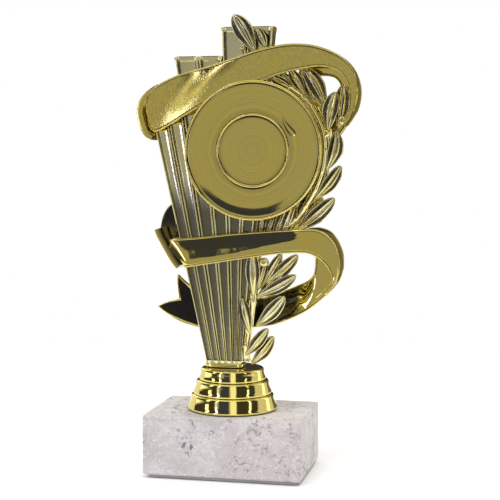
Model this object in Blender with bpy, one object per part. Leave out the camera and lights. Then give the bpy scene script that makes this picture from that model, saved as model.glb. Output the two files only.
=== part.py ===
"""Award trophy: a fluted column with a laurel, a ribbon and an emblem disc on a marble block.

The figure is a set of metallised plastic mouldings on a stepped collar.  A bolt from below clamps
the collar to the marble block, and the figure can be turned about that bolt.
Lengths are in millimetres here and are written to the meshes in metres.
The origin is the middle of the underside, +Z is up and the emblem disc faces -Y.
"""
import math

import bmesh
import bpy
from mathutils import Matrix, Vector

MM = 0.001
GAP = 0.3                      # clearance between touching pieces

# ---- Driving dimensions -------------------------------------------------------------------------
BASE_WIDTH, BASE_DEPTH = 60.0, 40.0
BASE_CHAMFER = 0.9
FELT_THICK, FELT_INSET, FELT_CORNER = 0.8, 1.5, 1.5
BASE_BOTTOM = FELT_THICK + GAP
BASE_TOP = 23.6

BOLT_RADIUS = 3.0              # M6 tie bolt
BOLT_HOLE = BOLT_RADIUS + GAP
HEX_ACROSS_FLATS = 10.0        # M6 head and nut
HEX_SIDES, STEPS_PER_FLAT = 6, 4
HEAD_HEIGHT, NUT_HEIGHT = 4.0, 5.0
HEAD_BOTTOM = 3.0
WASHER_RADIUS, WASHER_THICK = 6.4, 1.4
COUNTERBORE_RADIUS = 8.5
WASHER_BOTTOM = HEAD_BOTTOM + HEAD_HEIGHT + GAP
COUNTERBORE_TOP = WASHER_BOTTOM + WASHER_THICK + GAP
BOLT_TOP = 34.5
BOLT_LEAD_IN = 0.8
NUT_BOTTOM = 28.0

COLLAR_BOTTOM = BASE_TOP + GAP
COLLAR_TOP = 39.6
COLLAR_WALL = 1.6
COLLAR_STEPS = (               # (widest radius, radius under the shoulder, bottom, top)
    (17.15, 15.8, COLLAR_BOTTOM, 29.7),
    (14.95, 13.9, 29.7, 35.0),
    (12.7, 12.0, 35.0, COLLAR_TOP),
)
BOSS_RADIUS = 8.0
BOSS_HOLE = BOLT_HOLE + 0.1
NUT_POCKET_RADIUS = 6.2

COLUMN_HALF_DEPTH = 3.7
FLUTE_DEPTH = 0.8
FLUTE_SLOPE = 0.2              # width of the slope between a rib and its panel
FOOT_OVERHANG = 0.6
FOOT_TOP = COLLAR_TOP + GAP + 1.4
FLUTES_BOTTOM = FOOT_TOP + GAP
EDGE_RIB, MIDDLE_RIB = 1.1, 2.0
TOP_RIM = 1.6
COLUMN_LINES = (               # (x at the foot, x gained per mm of height) of each dividing line
    (-9.5, -0.2255),
    (-4.1, -0.1515),
    (0.8, -0.0330),
    (4.2, 0.0970),
)
BLOCK_TOPS = (139.0, 157.0, 167.6)

FRONT_BAND = (-9.3, -6.5)      # front and back of the ribbon in front of the column
FOLD_WALL = (-6.2, 3.9)        # front and back of the ribbon where it turns round
BACK_BAND = (4.2, 7.0)         # front and back of the ribbon behind the column
RIGHT_FOLD_THICK = 1.8
UPPER_LEFT_FOLD_THICK = 2.4
LOWER_LEFT_FOLD_THICK = 2.2

DISC_CENTRE = (10.3, 121.8)
DISC_RADIUS = 25.7
DISC_BACK, DISC_FRONT = -9.7, -12.6
SEAT_RADIUS, SEAT_DROP = 24.7, 0.7      # takes a standard 50 mm emblem inside the rim
INNER_RING_RADIUS, INNER_SEAT_RADIUS = 13.8, 12.6
POST_RADIUS, POST_X = 6.0, 6.0

LEAF_THICK = 1.8
LEAF_LAYERS = {"front": -5.1, "middle": -3.0, "rear": -0.9}
LEAF_STATIONS = (0.1, 0.25, 0.45, 0.65, 0.82, 0.94)       # parts of the way from base to tip
LEAF_SECTION = (               # (part of the half width, part of the half thickness)
    (-1, 0), (-0.45, -0.62), (0, -1), (0.45, -0.62), (1, 0), (0.45, 0.62), (0, 1), (-0.45, 0.62),
)
STEM_RADIUS, STEM_Y = 1.0, 1.4

# ---- Shapes drawn on the X-Z plane, each row (outer x, outer z, inner x, inner z) -----------------
UPPER_FRONT = (
    (-31.6, 139.5, -31.4, 136.2), (-30.8, 142.3, -30.6, 131.5), (-28.7, 145.0, -28.6, 128.9),
    (-25.1, 147.3, -25.2, 129.9), (-19.2, 149.9, -19.3, 133.1), (-11.6, 151.9, -11.2, 137.7),
    (-3.1, 154.1, -1.6, 142.2), (5.2, 156.6, 6.7, 145.0), (11.5, 158.5, 13.4, 147.3),
    (17.5, 159.8, 18.7, 149.2), (22.7, 160.5, 23.5, 150.5), (27.4, 160.5, 27.7, 151.3),
    (32.3, 159.9, 31.6, 151.9), (37.8, 158.2, 35.2, 152.1), (42.5, 155.7, 38.9, 151.5),
    (45.4, 153.0, 41.8, 150.1), (47.4, 149.9, 43.9, 148.0), (48.2, 146.0, 45.3, 145.1),
    (48.1, 142.1, 46.0, 142.0), (47.3, 137.9, 46.0, 138.7), (45.9, 133.9, 45.2, 135.0),
    (43.6, 130.6, 43.3, 131.3),
)
UPPER_FOLD = (
    (31.2, 160.2), (36.8, 158.6), (41.6, 156.0), (44.6, 153.3), (46.8, 149.9), (48.1, 145.8),
    (48.3, 141.6), (47.2, 136.9), (45.2, 133.3), (43.4, 130.8),
)
DIAGONAL_RUN = (
    (25.0, 159.8, 25.1, 150.0), (31.6, 159.3, 31.1, 149.6), (38.0, 157.2, 35.6, 149.4),
    (42.9, 153.4, 38.5, 148.4), (46.1, 147.8, 40.2, 145.9), (47.0, 142.3, 39.0, 143.6),
    (45.5, 136.0, 36.0, 141.2), (41.6, 129.4, 31.8, 137.4), (35.2, 121.6, 26.4, 132.0),
    (25.2, 112.4, 18.4, 123.0), (10.6, 101.8, 5.2, 113.2), (-3.9, 93.4, -8.9, 106.2),
    (-16.9, 88.6, -18.0, 102.8), (-23.4, 87.5, -21.4, 102.0), (-27.6, 87.6, -25.4, 101.4),
    (-29.6, 88.8, -27.8, 99.0), (-30.1, 90.8, -29.4, 95.4),
)
UPPER_LEFT_FOLD = (
    (-27.4, 146.6), (-30.6, 144.7), (-33.3, 142.2), (-35.0, 139.4), (-35.5, 136.4),
    (-34.8, 132.2), (-33.6, 129.0), (-32.0, 126.8), (-29.9, 125.7),
)
UPPER_END = (
    (-33.0, 140.6, -31.4, 128.0), (-28.0, 143.2, -27.2, 127.9), (-20.0, 145.0, -19.6, 130.8),
    (-12.0, 147.2, -11.6, 134.2),
)
LOWER_FRONT = (
    (-22.7, 88.3, -16.2, 78.0), (-10.2, 89.5, -7.5, 79.4), (1.3, 90.9, 1.3, 80.9),
    (12.7, 91.9, 9.7, 82.3), (18.4, 92.4, 17.6, 83.5), (26.2, 92.9, 25.3, 84.2),
    (33.2, 93.1, 30.4, 84.1), (37.7, 91.2, 33.4, 82.9), (40.9, 87.3, 36.3, 80.9),
    (42.5, 81.0, 38.7, 77.7), (42.1, 76.4, 39.7, 74.6), (40.1, 72.2, 39.1, 71.7),
    (37.6, 68.8, 37.2, 69.0),
)
LOWER_FOLD = (
    (29.8, 93.0), (33.4, 93.0), (37.0, 91.7), (39.5, 88.9), (41.4, 85.1), (42.1, 81.9),
    (41.9, 77.1), (40.2, 72.6), (36.9, 68.6),
)
LOWER_LEFT_FOLD = (
    (-28.8, 91.8), (-27.8, 89.2), (-26.6, 87.0), (-24.8, 83.8), (-23.0, 80.8), (-21.4, 78.5),
    (-20.3, 77.2),
)
RETURN_RUN = (
    (40.9, 84.0, 31.2, 84.0), (40.9, 77.3, 30.9, 78.0), (39.3, 72.0, 30.1, 74.7),
    (35.0, 67.0, 27.6, 72.4), (27.9, 61.2, 23.0, 70.2), (19.6, 57.1, 14.8, 66.9),
    (12.5, 55.0, 8.9, 65.3), (-1.2, 53.4, -1.9, 64.9), (-10.0, 53.3, -10.6, 66.4),
)
TAIL = (
    (-11.0, 66.6), (-18.2, 69.4), (-23.4, 73.6), (-23.1, 68.8), (-22.3, 64.4), (-26.7, 63.3),
    (-31.0, 61.5), (-27.5, 58.9), (-23.6, 56.8), (-19.1, 55.0), (-14.7, 54.0), (-10.4, 53.4),
)
STEM_LOWER = (
    (7.1, 43.2), (7.1, 48.0), (7.8, 55.0), (9.0, 67.0), (10.1, 77.0), (12.0, 84.5), (16.4, 91.6),
)
STEM_UPPER = (
    (17.4, 92.9), (25.4, 98.9), (32.2, 107.1), (35.9, 118.3), (35.9, 129.0), (32.5, 137.3),
    (26.0, 143.2), (20.6, 146.2), (17.6, 149.6),
)
LEAVES = (                     # (name, base, tip, width, layer)
    ("laurel_leaf_01", (7.8, 41.6), (16.5, 52.2), 4.4, "middle"),
    ("laurel_leaf_02", (5.6, 44.4), (14.3, 55.2), 3.7, "front"),
    ("laurel_leaf_03", (9.9, 55.0), (20.8, 67.3), 4.9, "middle"),
    ("laurel_leaf_04", (7.7, 53.3), (4.6, 66.4), 3.5, "front"),
    ("laurel_leaf_05", (11.2, 67.0), (24.8, 75.4), 4.4, "middle"),
    ("laurel_leaf_06", (12.8, 72.2), (25.2, 82.7), 4.9, "rear"),
    ("laurel_leaf_07", (9.0, 67.8), (8.2, 82.0), 5.7, "front"),
    ("laurel_leaf_08", (18.8, 92.6), (22.9, 102.4), 3.9, "front"),
    ("laurel_leaf_09", (23.6, 93.4), (28.0, 105.4), 4.1, "rear"),
    ("laurel_leaf_10", (26.4, 93.8), (39.2, 104.0), 4.9, "middle"),
    ("laurel_leaf_11", (31.6, 104.2), (41.6, 116.2), 4.7, "middle"),
    ("laurel_leaf_12", (37.0, 114.8), (39.8, 128.4), 4.6, "middle"),
    ("laurel_leaf_13", (37.2, 129.4), (40.6, 142.4), 5.3, "front"),
    ("laurel_leaf_14", (34.3, 137.7), (28.0, 151.1), 6.0, "middle"),
    ("laurel_leaf_15", (28.5, 143.5), (25.8, 151.3), 3.6, "rear"),
    ("laurel_leaf_16", (25.6, 144.0), (21.8, 150.3), 3.6, "middle"),
    ("laurel_leaf_17", (22.9, 144.9), (16.8, 149.3), 3.0, "front"),
    ("laurel_leaf_18", (9.5, 158.6), (1.5, 171.8), 5.3, "front"),
    ("laurel_leaf_19", (15.0, 159.4), (12.0, 165.6), 3.0, "front"),
    ("laurel_leaf_20", (40.0, 130.4), (42.2, 145.2), 3.8, "middle"),
)
BERRIES = (                    # (name, centre, radius)
    ("laurel_berry_lower", (13.4, -4.7, 79.9), 1.7),
    ("laurel_berry_side", (36.6, -2.5, 128.0), 1.25),
    ("laurel_berry_right", (41.7, -5.2, 133.2), 1.1),
    ("laurel_berry_top", (5.2, -5.0, 159.7), 1.1),
)

# ---- Finishes: (colour, roughness, metallic) ------------------------------------------------------
GOLD = ((0.52, 0.42, 0.12), 0.22, 1.0)
COLLAR_GOLD = ((0.60, 0.50, 0.14), 0.16, 1.0)
MARBLE = ((0.62, 0.56, 0.54), 0.35, 0.0)
FELT = ((0.05, 0.05, 0.05), 0.95, 0.0)
STEEL = ((0.55, 0.56, 0.57), 0.35, 1.0)


# ---- Helpers --------------------------------------------------------------------------------------
def clear_scene():
    """Remove what the scene holds, so that the trophy is built alone."""
    for item in list(bpy.data.objects):
        bpy.data.objects.remove(item, do_unlink=True)


def material(name, finish):
    """Give one piece its own Principled material."""
    colour, roughness, metallic = finish
    made = bpy.data.materials.new(name + "_finish")
    made.use_nodes = True
    shader = made.node_tree.nodes["Principled BSDF"]
    shader.inputs["Base Color"].default_value = (*colour, 1.0)
    shader.inputs["Roughness"].default_value = roughness
    shader.inputs["Metallic"].default_value = metallic
    return made


def make_object(name, mesh_maker, finish, parent, smooth_angle=None):
    """Put a finished bmesh, drawn in millimetres, into the scene as one named piece."""
    bmesh.ops.recalc_face_normals(mesh_maker, faces=mesh_maker.faces)
    if mesh_maker.calc_volume(signed=True) < 0:
        bmesh.ops.reverse_faces(mesh_maker, faces=mesh_maker.faces)
    bmesh.ops.scale(mesh_maker, vec=(MM, MM, MM), verts=mesh_maker.verts)
    mesh = bpy.data.meshes.new(name)
    mesh_maker.to_mesh(mesh)
    mesh_maker.free()
    if smooth_angle is not None:
        mesh.shade_smooth()
        mesh.set_sharp_from_angle(angle=math.radians(smooth_angle))
    mesh.materials.append(material(name, finish))
    piece = bpy.data.objects.new(name, mesh)
    piece.parent = parent
    bpy.context.collection.objects.link(piece)
    return piece


def smooth_rows(rows, steps):
    """Pass a Catmull-Rom curve through rows of numbers, with a few steps between each pair."""
    padded = [rows[0], *rows, rows[-1]]
    curve = []
    for before, start, end, after in zip(padded, padded[1:], padded[2:], padded[3:]):
        for step in range(steps):
            t = step / steps
            curve.append(tuple(
                0.5 * (2 * b + (c - a) * t + (2 * a - 5 * b + 4 * c - d) * t ** 2
                       + (3 * b - a - 3 * c + d) * t ** 3)
                for a, b, c, d in zip(before, start, end, after)))
    curve.append(tuple(rows[-1]))
    return curve


def loft(rings):
    """Skin a row of rings; a ring of one point closes the skin in a tip."""
    shape = bmesh.new()
    loops = [[shape.verts.new(point) for point in ring] for ring in rings]
    for first, second in zip(loops, loops[1:]):
        count = max(len(first), len(second))
        for index in range(count):
            following = (index + 1) % count
            corners = []
            for loop, order in ((first, (index, following)), (second, (following, index))):
                corners += [loop[i] for i in order] if len(loop) > 1 else [loop[0]]
            shape.faces.new(corners)
    for end in (loops[0], loops[-1]):
        if len(end) > 2:
            shape.faces.new(end)
    return shape


def turned(profile, segments):
    """Turn a closed profile of (radius, height) points about +Z; points on the axis become tips."""
    shape = bmesh.new()
    rings = []
    for radius, height in profile:
        if radius == 0.0:
            rings.append([shape.verts.new((0.0, 0.0, height))])
            continue
        angles = (2 * math.pi * k / segments for k in range(segments))
        rings.append([shape.verts.new((radius * math.cos(a), radius * math.sin(a), height)) for a in angles])
    pairs = list(zip(rings, rings[1:]))
    if len(rings[0]) > 1:
        pairs.append((rings[-1], rings[0]))
    for lower, upper in pairs:
        for k in range(segments):
            n = (k + 1) % segments
            if len(lower) == 1:
                shape.faces.new((lower[0], upper[n], upper[k]))
            elif len(upper) == 1:
                shape.faces.new((lower[k], lower[n], upper[0]))
            else:
                shape.faces.new((lower[k], lower[n], upper[n], upper[k]))
    return shape


def prism(outline, front, back):
    """Extrude an outline on the X-Z plane from front to back along Y."""
    return loft([[(x, y, z) for x, z in outline] for y in (front, back)])


def hexagon(across_flats, bottom, top, bore=None):
    """Make a hexagonal head, or a nut where a bore is given, standing on +Z."""
    corner = across_flats / 2 / math.cos(math.pi / HEX_SIDES)
    flat = []
    for k in range(HEX_SIDES * STEPS_PER_FLAT):
        side, along = divmod(k, STEPS_PER_FLAT)
        a = 2 * math.pi * side / HEX_SIDES
        b = 2 * math.pi * (side + 1) / HEX_SIDES
        t = along / STEPS_PER_FLAT
        flat.append((corner * (math.cos(a) * (1 - t) + math.cos(b) * t),
                     corner * (math.sin(a) * (1 - t) + math.sin(b) * t)))
    outside = [[(x, y, z) for x, y in flat] for z in (bottom, top)]
    if bore is None:
        return loft(outside)
    circle = [Vector(point).normalized() * bore for point in flat]
    inside = [[(x, y, z) for x, y in circle] for z in (top, bottom)]
    shape = bmesh.new()
    loops = [[shape.verts.new(point) for point in ring] for ring in outside + inside]
    for first, second in zip(loops, loops[1:] + loops[:1]):
        for k in range(len(flat)):
            n = (k + 1) % len(flat)
            shape.faces.new((first[k], first[n], second[n], second[k]))
    return shape


def band(rows, depth, steps=2):
    """Make a ribbon band from rows of outer and inner edge points, between two values of Y."""
    front, back = depth
    return loft([
        [(x1, front, z1), (x2, front, z2), (x2, back, z2), (x1, back, z1)]
        for x1, z1, x2, z2 in smooth_rows(rows, steps)])


def fold(path, depth, thickness, side, steps=2):
    """Make the edge-on wall of a folded ribbon, thickened towards one side of its outer path."""
    curve = [Vector(point) for point in smooth_rows(path, steps)]
    rows = []
    for index, point in enumerate(curve):
        ahead = curve[min(index + 1, len(curve) - 1)]
        behind = curve[max(index - 1, 0)]
        along = (ahead - behind).normalized()
        inner = point + side * thickness * Vector((-along.y, along.x))
        rows.append((point.x, point.y, inner.x, inner.y))
    front, back = depth
    return loft([
        [(x1, front, z1), (x2, front, z2), (x2, back, z2), (x1, back, z1)] for x1, z1, x2, z2 in rows])


def tube(path, radius, y, sides=8):
    """Make a round stem along a smooth path that lies in one plane of Y."""
    curve = [Vector(point) for point in smooth_rows(path, 3)]
    rings = []
    for index, point in enumerate(curve):
        along = (curve[min(index + 1, len(curve) - 1)] - curve[max(index - 1, 0)]).normalized()
        across = Vector((-along.y, along.x))
        ring = []
        for k in range(sides):
            a = 2 * math.pi * k / sides
            at = point + across * radius * math.cos(a)
            ring.append((at.x, y + radius * math.sin(a), at.y))
        rings.append(ring)
    return loft(rings)


def leaf(base, tip, width, y):
    """Make a pointed leaf with a raised middle ridge on both faces."""
    start, end = Vector(base), Vector(tip)
    along = end - start
    across = Vector((-along.y, along.x)).normalized()
    rings = [[(start.x, y, start.y)]]
    for t in LEAF_STATIONS:
        swell = math.sin(math.pi * t ** 0.9) ** 0.75
        half = width / 2 * swell
        rise = LEAF_THICK / 2 * (0.35 + 0.65 * swell)
        middle = start + along * t
        ring = []
        for offset, lift in LEAF_SECTION:
            at = middle + across * half * offset
            ring.append((at.x, y + rise * lift, at.y))
        rings.append(ring)
    rings.append([(end.x, y, end.y)])
    return loft(rings)


# ---- Base and fastening ---------------------------------------------------------------------------
def make_base(parent):
    """Marble block with the bolt hole and counterbore, felt underneath, and the washer."""
    block = bmesh.new()
    bmesh.ops.create_cube(block, size=1.0)
    bmesh.ops.scale(block, vec=(BASE_WIDTH, BASE_DEPTH, BASE_TOP - BASE_BOTTOM), verts=block.verts)
    bmesh.ops.translate(block, vec=(0, 0, (BASE_TOP + BASE_BOTTOM) / 2), verts=block.verts)
    bmesh.ops.bevel(block, geom=block.edges[:], offset=BASE_CHAMFER, segments=2, profile=0.6,
                    affect="EDGES", clamp_overlap=True)
    marble = make_object("marble_base", block, MARBLE, parent)
    above = BASE_TOP + 5.0                          # the cutter reaches clear of the block
    cutter_shape = turned(((0.0, 0.0), (COUNTERBORE_RADIUS, 0.0), (COUNTERBORE_RADIUS, COUNTERBORE_TOP),
                           (BOLT_HOLE, COUNTERBORE_TOP), (BOLT_HOLE, above), (0.0, above)), 32)
    cutter = make_object("bolt_hole_cutter", cutter_shape, MARBLE, parent)
    cutter.hide_render = True
    cutter.display_type = "WIRE"
    cut = marble.modifiers.new("bolt hole", "BOOLEAN")
    cut.operation = "DIFFERENCE"
    cut.object = cutter

    felt = bmesh.new()
    bmesh.ops.create_cube(felt, size=1.0)
    bmesh.ops.scale(felt, vec=(BASE_WIDTH - 2 * FELT_INSET, BASE_DEPTH - 2 * FELT_INSET, FELT_THICK),
                    verts=felt.verts)
    bmesh.ops.translate(felt, vec=(0, 0, FELT_THICK / 2), verts=felt.verts)
    upright = [edge for edge in felt.edges if abs(edge.verts[0].co.z - edge.verts[1].co.z) > 0.1]
    bmesh.ops.bevel(felt, geom=upright, offset=FELT_CORNER, segments=3, profile=0.5, affect="EDGES")
    make_object("base_felt", felt, FELT, parent)

    washer = turned(((BOLT_HOLE, WASHER_BOTTOM), (WASHER_RADIUS, WASHER_BOTTOM),
                     (WASHER_RADIUS, WASHER_BOTTOM + WASHER_THICK),
                     (BOLT_HOLE, WASHER_BOTTOM + WASHER_THICK)), 32)
    make_object("base_washer", washer, STEEL, parent, 40)


def make_fastening(parent):
    """Tie bolt and the nut that is held in the collar."""
    head_top = HEAD_BOTTOM + HEAD_HEIGHT
    bolt = hexagon(HEX_ACROSS_FLATS, HEAD_BOTTOM, head_top)
    top_face = max(bolt.faces, key=lambda face: face.calc_center_median().z)
    rim = list(top_face.verts)
    bolt.faces.remove(top_face)
    rings = [rim]
    shank = ((BOLT_RADIUS, head_top), (BOLT_RADIUS, BOLT_TOP - BOLT_LEAD_IN),
             (BOLT_RADIUS - BOLT_LEAD_IN, BOLT_TOP))
    for radius, height in shank:
        ring = []
        for vert in rim:
            out = Vector((vert.co.x, vert.co.y)).normalized() * radius
            ring.append(bolt.verts.new((out.x, out.y, height)))
        rings.append(ring)
    for lower, upper in zip(rings, rings[1:]):
        for k in range(len(rim)):
            n = (k + 1) % len(rim)
            bolt.faces.new((lower[k], lower[n], upper[n], upper[k]))
    bolt.faces.new(rings[-1])
    make_object("tie_bolt", bolt, STEEL, parent, 40)
    nut = hexagon(HEX_ACROSS_FLATS, NUT_BOTTOM, NUT_BOTTOM + NUT_HEIGHT, bore=BOLT_HOLE)
    make_object("captive_nut", nut, STEEL, parent, 40)


def make_collar(parent):
    """Stepped hollow collar with the nut boss inside."""
    outside = [(0.0, COLLAR_TOP), (COLLAR_STEPS[-1][1] - 1.0, COLLAR_TOP)]
    for wide, narrow, bottom, top in reversed(COLLAR_STEPS):
        outside += [(narrow - 0.3, top - 0.15), (narrow, top - 0.6), (wide - 0.1, bottom + 0.9),
                    (wide, bottom + 0.5), (wide - 0.1, bottom)]
    ceiling = COLLAR_TOP - 2 * COLLAR_WALL
    inside = []
    for wide, narrow, bottom, top in COLLAR_STEPS[:2]:
        inside += [(wide - COLLAR_WALL, bottom), (narrow - COLLAR_WALL, top - COLLAR_WALL)]
    inside += [(COLLAR_STEPS[2][0] - COLLAR_WALL, COLLAR_STEPS[2][2]),
               (COLLAR_STEPS[2][1] - COLLAR_WALL, ceiling)]
    pocket_bottom, pocket_top = NUT_BOTTOM - GAP, NUT_BOTTOM + NUT_HEIGHT + GAP
    boss = [(BOSS_RADIUS, ceiling), (BOSS_RADIUS, COLLAR_BOTTOM),
            (BOSS_HOLE, COLLAR_BOTTOM), (BOSS_HOLE, pocket_bottom),
            (NUT_POCKET_RADIUS, pocket_bottom), (NUT_POCKET_RADIUS, pocket_top),
            (BOSS_HOLE, pocket_top), (BOSS_HOLE, ceiling), (0.0, ceiling)]
    make_object("collar", turned(outside + inside + boss, 48), COLLAR_GOLD, parent, 30)


# ---- Column ---------------------------------------------------------------------------------------
def column_edge(line, height):
    """Return X of one dividing line of the column at a height."""
    foot_x, slope = COLUMN_LINES[line]
    return foot_x + slope * (height - FLUTES_BOTTOM)


def block_section(left, right, height, depth, panel_depth):
    """Return one level outline of a fluted block: three ribs and two panels, front and back."""
    edge = min(EDGE_RIB, (right - left) * 0.16)
    rib = min(MIDDLE_RIB, (right - left) * 0.22)
    middle = (left + right) / 2
    front = [(left, depth), (left + edge, depth), (left + edge + FLUTE_SLOPE, panel_depth),
             (middle - rib / 2 - FLUTE_SLOPE, panel_depth), (middle - rib / 2, depth),
             (middle + rib / 2, depth), (middle + rib / 2 + FLUTE_SLOPE, panel_depth),
             (right - edge - FLUTE_SLOPE, panel_depth), (right - edge, depth), (right, depth)]
    return ([(x, -y, height) for x, y in front] + [(x, y, height) for x, y in reversed(front)])


def make_column(parent):
    """Foot and the three stepped fluted blocks that fan out above it."""
    foot_left = COLUMN_LINES[0][0] - FOOT_OVERHANG
    foot_right = COLUMN_LINES[-1][0] + FOOT_OVERHANG
    half = COLUMN_HALF_DEPTH + FOOT_OVERHANG
    foot_bottom = COLLAR_TOP + GAP
    levels = ((0.3, foot_bottom), (0.0, foot_bottom + 0.5), (0.0, FOOT_TOP - 0.5), (0.3, FOOT_TOP))
    foot = loft([
        [(foot_left + inset, inset - half, z), (foot_right - inset, inset - half, z),
         (foot_right - inset, half - inset, z), (foot_left + inset, half - inset, z)]
        for inset, z in levels])
    make_object("column_foot", foot, GOLD, parent)
    names = ("column_block_left", "column_block_middle", "column_block_right")
    for index, (name, top) in enumerate(zip(names, BLOCK_TOPS)):
        full = COLUMN_HALF_DEPTH
        sunk = full - FLUTE_DEPTH
        levels = ((FLUTES_BOTTOM, full), (FLUTES_BOTTOM + 0.8, full), (FLUTES_BOTTOM + 1.0, sunk),
                  (top - TOP_RIM - 0.2, sunk), (top - TOP_RIM, full), (top, full))
        rings = []
        for height, panel in levels:
            left = column_edge(index, height) + GAP / 2
            right = column_edge(index + 1, height) - GAP / 2
            rings.append(block_section(left, right, height, full, panel))
        make_object(name, loft(rings), GOLD, parent)


# ---- Emblem disc ----------------------------------------------------------------------------------
def make_disc(parent):
    """Round emblem holder on a short post in front of the column."""
    def turned_about_y(profile, centre_x, segments):
        shape = turned([(radius, -y) for radius, y in profile], segments)
        quarter_turn = Matrix.Rotation(math.radians(90), 3, "X")
        bmesh.ops.rotate(shape, cent=(0, 0, 0), matrix=quarter_turn, verts=shape.verts)
        bmesh.ops.translate(shape, vec=(centre_x, 0, DISC_CENTRE[1]), verts=shape.verts)
        return shape

    seat = DISC_FRONT + SEAT_DROP
    inner = seat + 0.7
    holder = ((0.0, DISC_BACK), (DISC_RADIUS - 0.6, DISC_BACK), (DISC_RADIUS, DISC_BACK - 0.5),
              (DISC_RADIUS, DISC_FRONT + 0.4), (DISC_RADIUS - 0.4, DISC_FRONT),
              (DISC_RADIUS - 1.0, DISC_FRONT), (SEAT_RADIUS, seat),
              (INNER_RING_RADIUS + 0.3, inner), (INNER_RING_RADIUS, inner - 0.5),
              (INNER_SEAT_RADIUS + 0.3, inner - 0.5), (INNER_SEAT_RADIUS, inner), (0.0, inner))
    make_object("emblem_disc", turned_about_y(holder, DISC_CENTRE[0], 56), GOLD, parent, 30)
    post = ((0.0, DISC_BACK + GAP), (POST_RADIUS, DISC_BACK + GAP),
            (POST_RADIUS, -COLUMN_HALF_DEPTH - GAP), (0.0, -COLUMN_HALF_DEPTH - GAP))
    make_object("disc_post", turned_about_y(tuple(reversed(post)), POST_X, 24), GOLD, parent, 30)


# ---- Ribbon ---------------------------------------------------------------------------------------
def make_ribbon(parent):
    """One long ribbon: it winds from the upper left, round both loops, to the swallow tail."""
    pieces = (
        ("upper_ribbon_front", band(UPPER_FRONT, FRONT_BAND)),
        ("upper_ribbon_right_fold", fold(UPPER_FOLD, FOLD_WALL, RIGHT_FOLD_THICK, -1)),
        ("upper_ribbon_left_fold", fold(UPPER_LEFT_FOLD, FOLD_WALL, UPPER_LEFT_FOLD_THICK, 1)),
        ("upper_ribbon_end", band(UPPER_END, BACK_BAND)),
        ("ribbon_diagonal_run", band(DIAGONAL_RUN, BACK_BAND)),
        ("lower_ribbon_left_fold", fold(LOWER_LEFT_FOLD, FOLD_WALL, LOWER_LEFT_FOLD_THICK, 1)),
        ("lower_ribbon_front", band(LOWER_FRONT, FRONT_BAND)),
        ("lower_ribbon_right_fold", fold(LOWER_FOLD, FOLD_WALL, RIGHT_FOLD_THICK, -1)),
        ("ribbon_return_run", band(RETURN_RUN, BACK_BAND)),
        ("ribbon_swallow_tail", prism(TAIL, *BACK_BAND)),
    )
    for name, shape in pieces:
        make_object(name, shape, GOLD, parent)


# ---- Laurel ---------------------------------------------------------------------------------------
def make_laurel(parent):
    """Two stems, their leaves in three layers, and the berries."""
    make_object("laurel_stem_lower", tube(STEM_LOWER, STEM_RADIUS, STEM_Y), GOLD, parent, 60)
    make_object("laurel_stem_upper", tube(STEM_UPPER, STEM_RADIUS, STEM_Y), GOLD, parent, 60)
    for name, base, tip, width, layer in LEAVES:
        make_object(name, leaf(base, tip, width, LEAF_LAYERS[layer]), GOLD, parent, 20)
    for name, centre, radius in BERRIES:
        ball = bmesh.new()
        bmesh.ops.create_icosphere(ball, subdivisions=2, radius=radius, matrix=Matrix.Translation(centre))
        make_object(name, ball, GOLD, parent, 60)


def main():
    """Build the trophy under two empties: the block that stands still and the figure that turns."""
    clear_scene()
    stand = bpy.data.objects.new("stand", None)
    figure = bpy.data.objects.new("figure", None)
    for empty in (stand, figure):
        bpy.context.collection.objects.link(empty)
    figure.parent = stand
    make_base(stand)
    make_fastening(figure)
    make_collar(figure)
    make_column(figure)
    make_disc(figure)
    make_ribbon(figure)
    make_laurel(figure)


main()
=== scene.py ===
"""Looks of an award trophy: gold mouldings, a marble block and the studio that they stand in.

Each sub-assembly is a class that builds its own fine meshes around the fixed frame and dresses them.
Lengths are in millimetres, and MM turns them into the frame's metres.
"""
from __future__ import annotations

import logging
import math
from dataclasses import dataclass, field
from enum import Enum

import bmesh
import bpy
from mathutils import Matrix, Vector

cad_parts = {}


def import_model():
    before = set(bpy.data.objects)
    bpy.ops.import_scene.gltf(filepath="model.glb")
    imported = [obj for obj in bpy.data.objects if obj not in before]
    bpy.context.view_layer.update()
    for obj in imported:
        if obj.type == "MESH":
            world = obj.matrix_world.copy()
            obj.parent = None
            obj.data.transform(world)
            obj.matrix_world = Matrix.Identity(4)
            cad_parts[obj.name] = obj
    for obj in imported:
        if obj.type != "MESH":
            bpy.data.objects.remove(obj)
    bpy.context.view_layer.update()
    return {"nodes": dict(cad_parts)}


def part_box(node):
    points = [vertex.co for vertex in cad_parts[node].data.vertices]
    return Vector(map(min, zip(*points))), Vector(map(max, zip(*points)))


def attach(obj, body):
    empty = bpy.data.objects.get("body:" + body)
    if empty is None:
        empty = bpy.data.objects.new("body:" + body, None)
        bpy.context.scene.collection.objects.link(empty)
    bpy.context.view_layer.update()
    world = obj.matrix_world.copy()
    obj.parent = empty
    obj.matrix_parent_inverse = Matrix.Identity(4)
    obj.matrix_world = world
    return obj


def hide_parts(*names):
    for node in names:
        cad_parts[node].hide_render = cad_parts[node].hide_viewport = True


MM = 0.001
FIGURE_BODY = "figure"
LOG = logging.getLogger("trophy")

Row = tuple[float, ...]
Colour = tuple[float, float, float]
Ring = list[tuple[float, float, float]]


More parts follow.
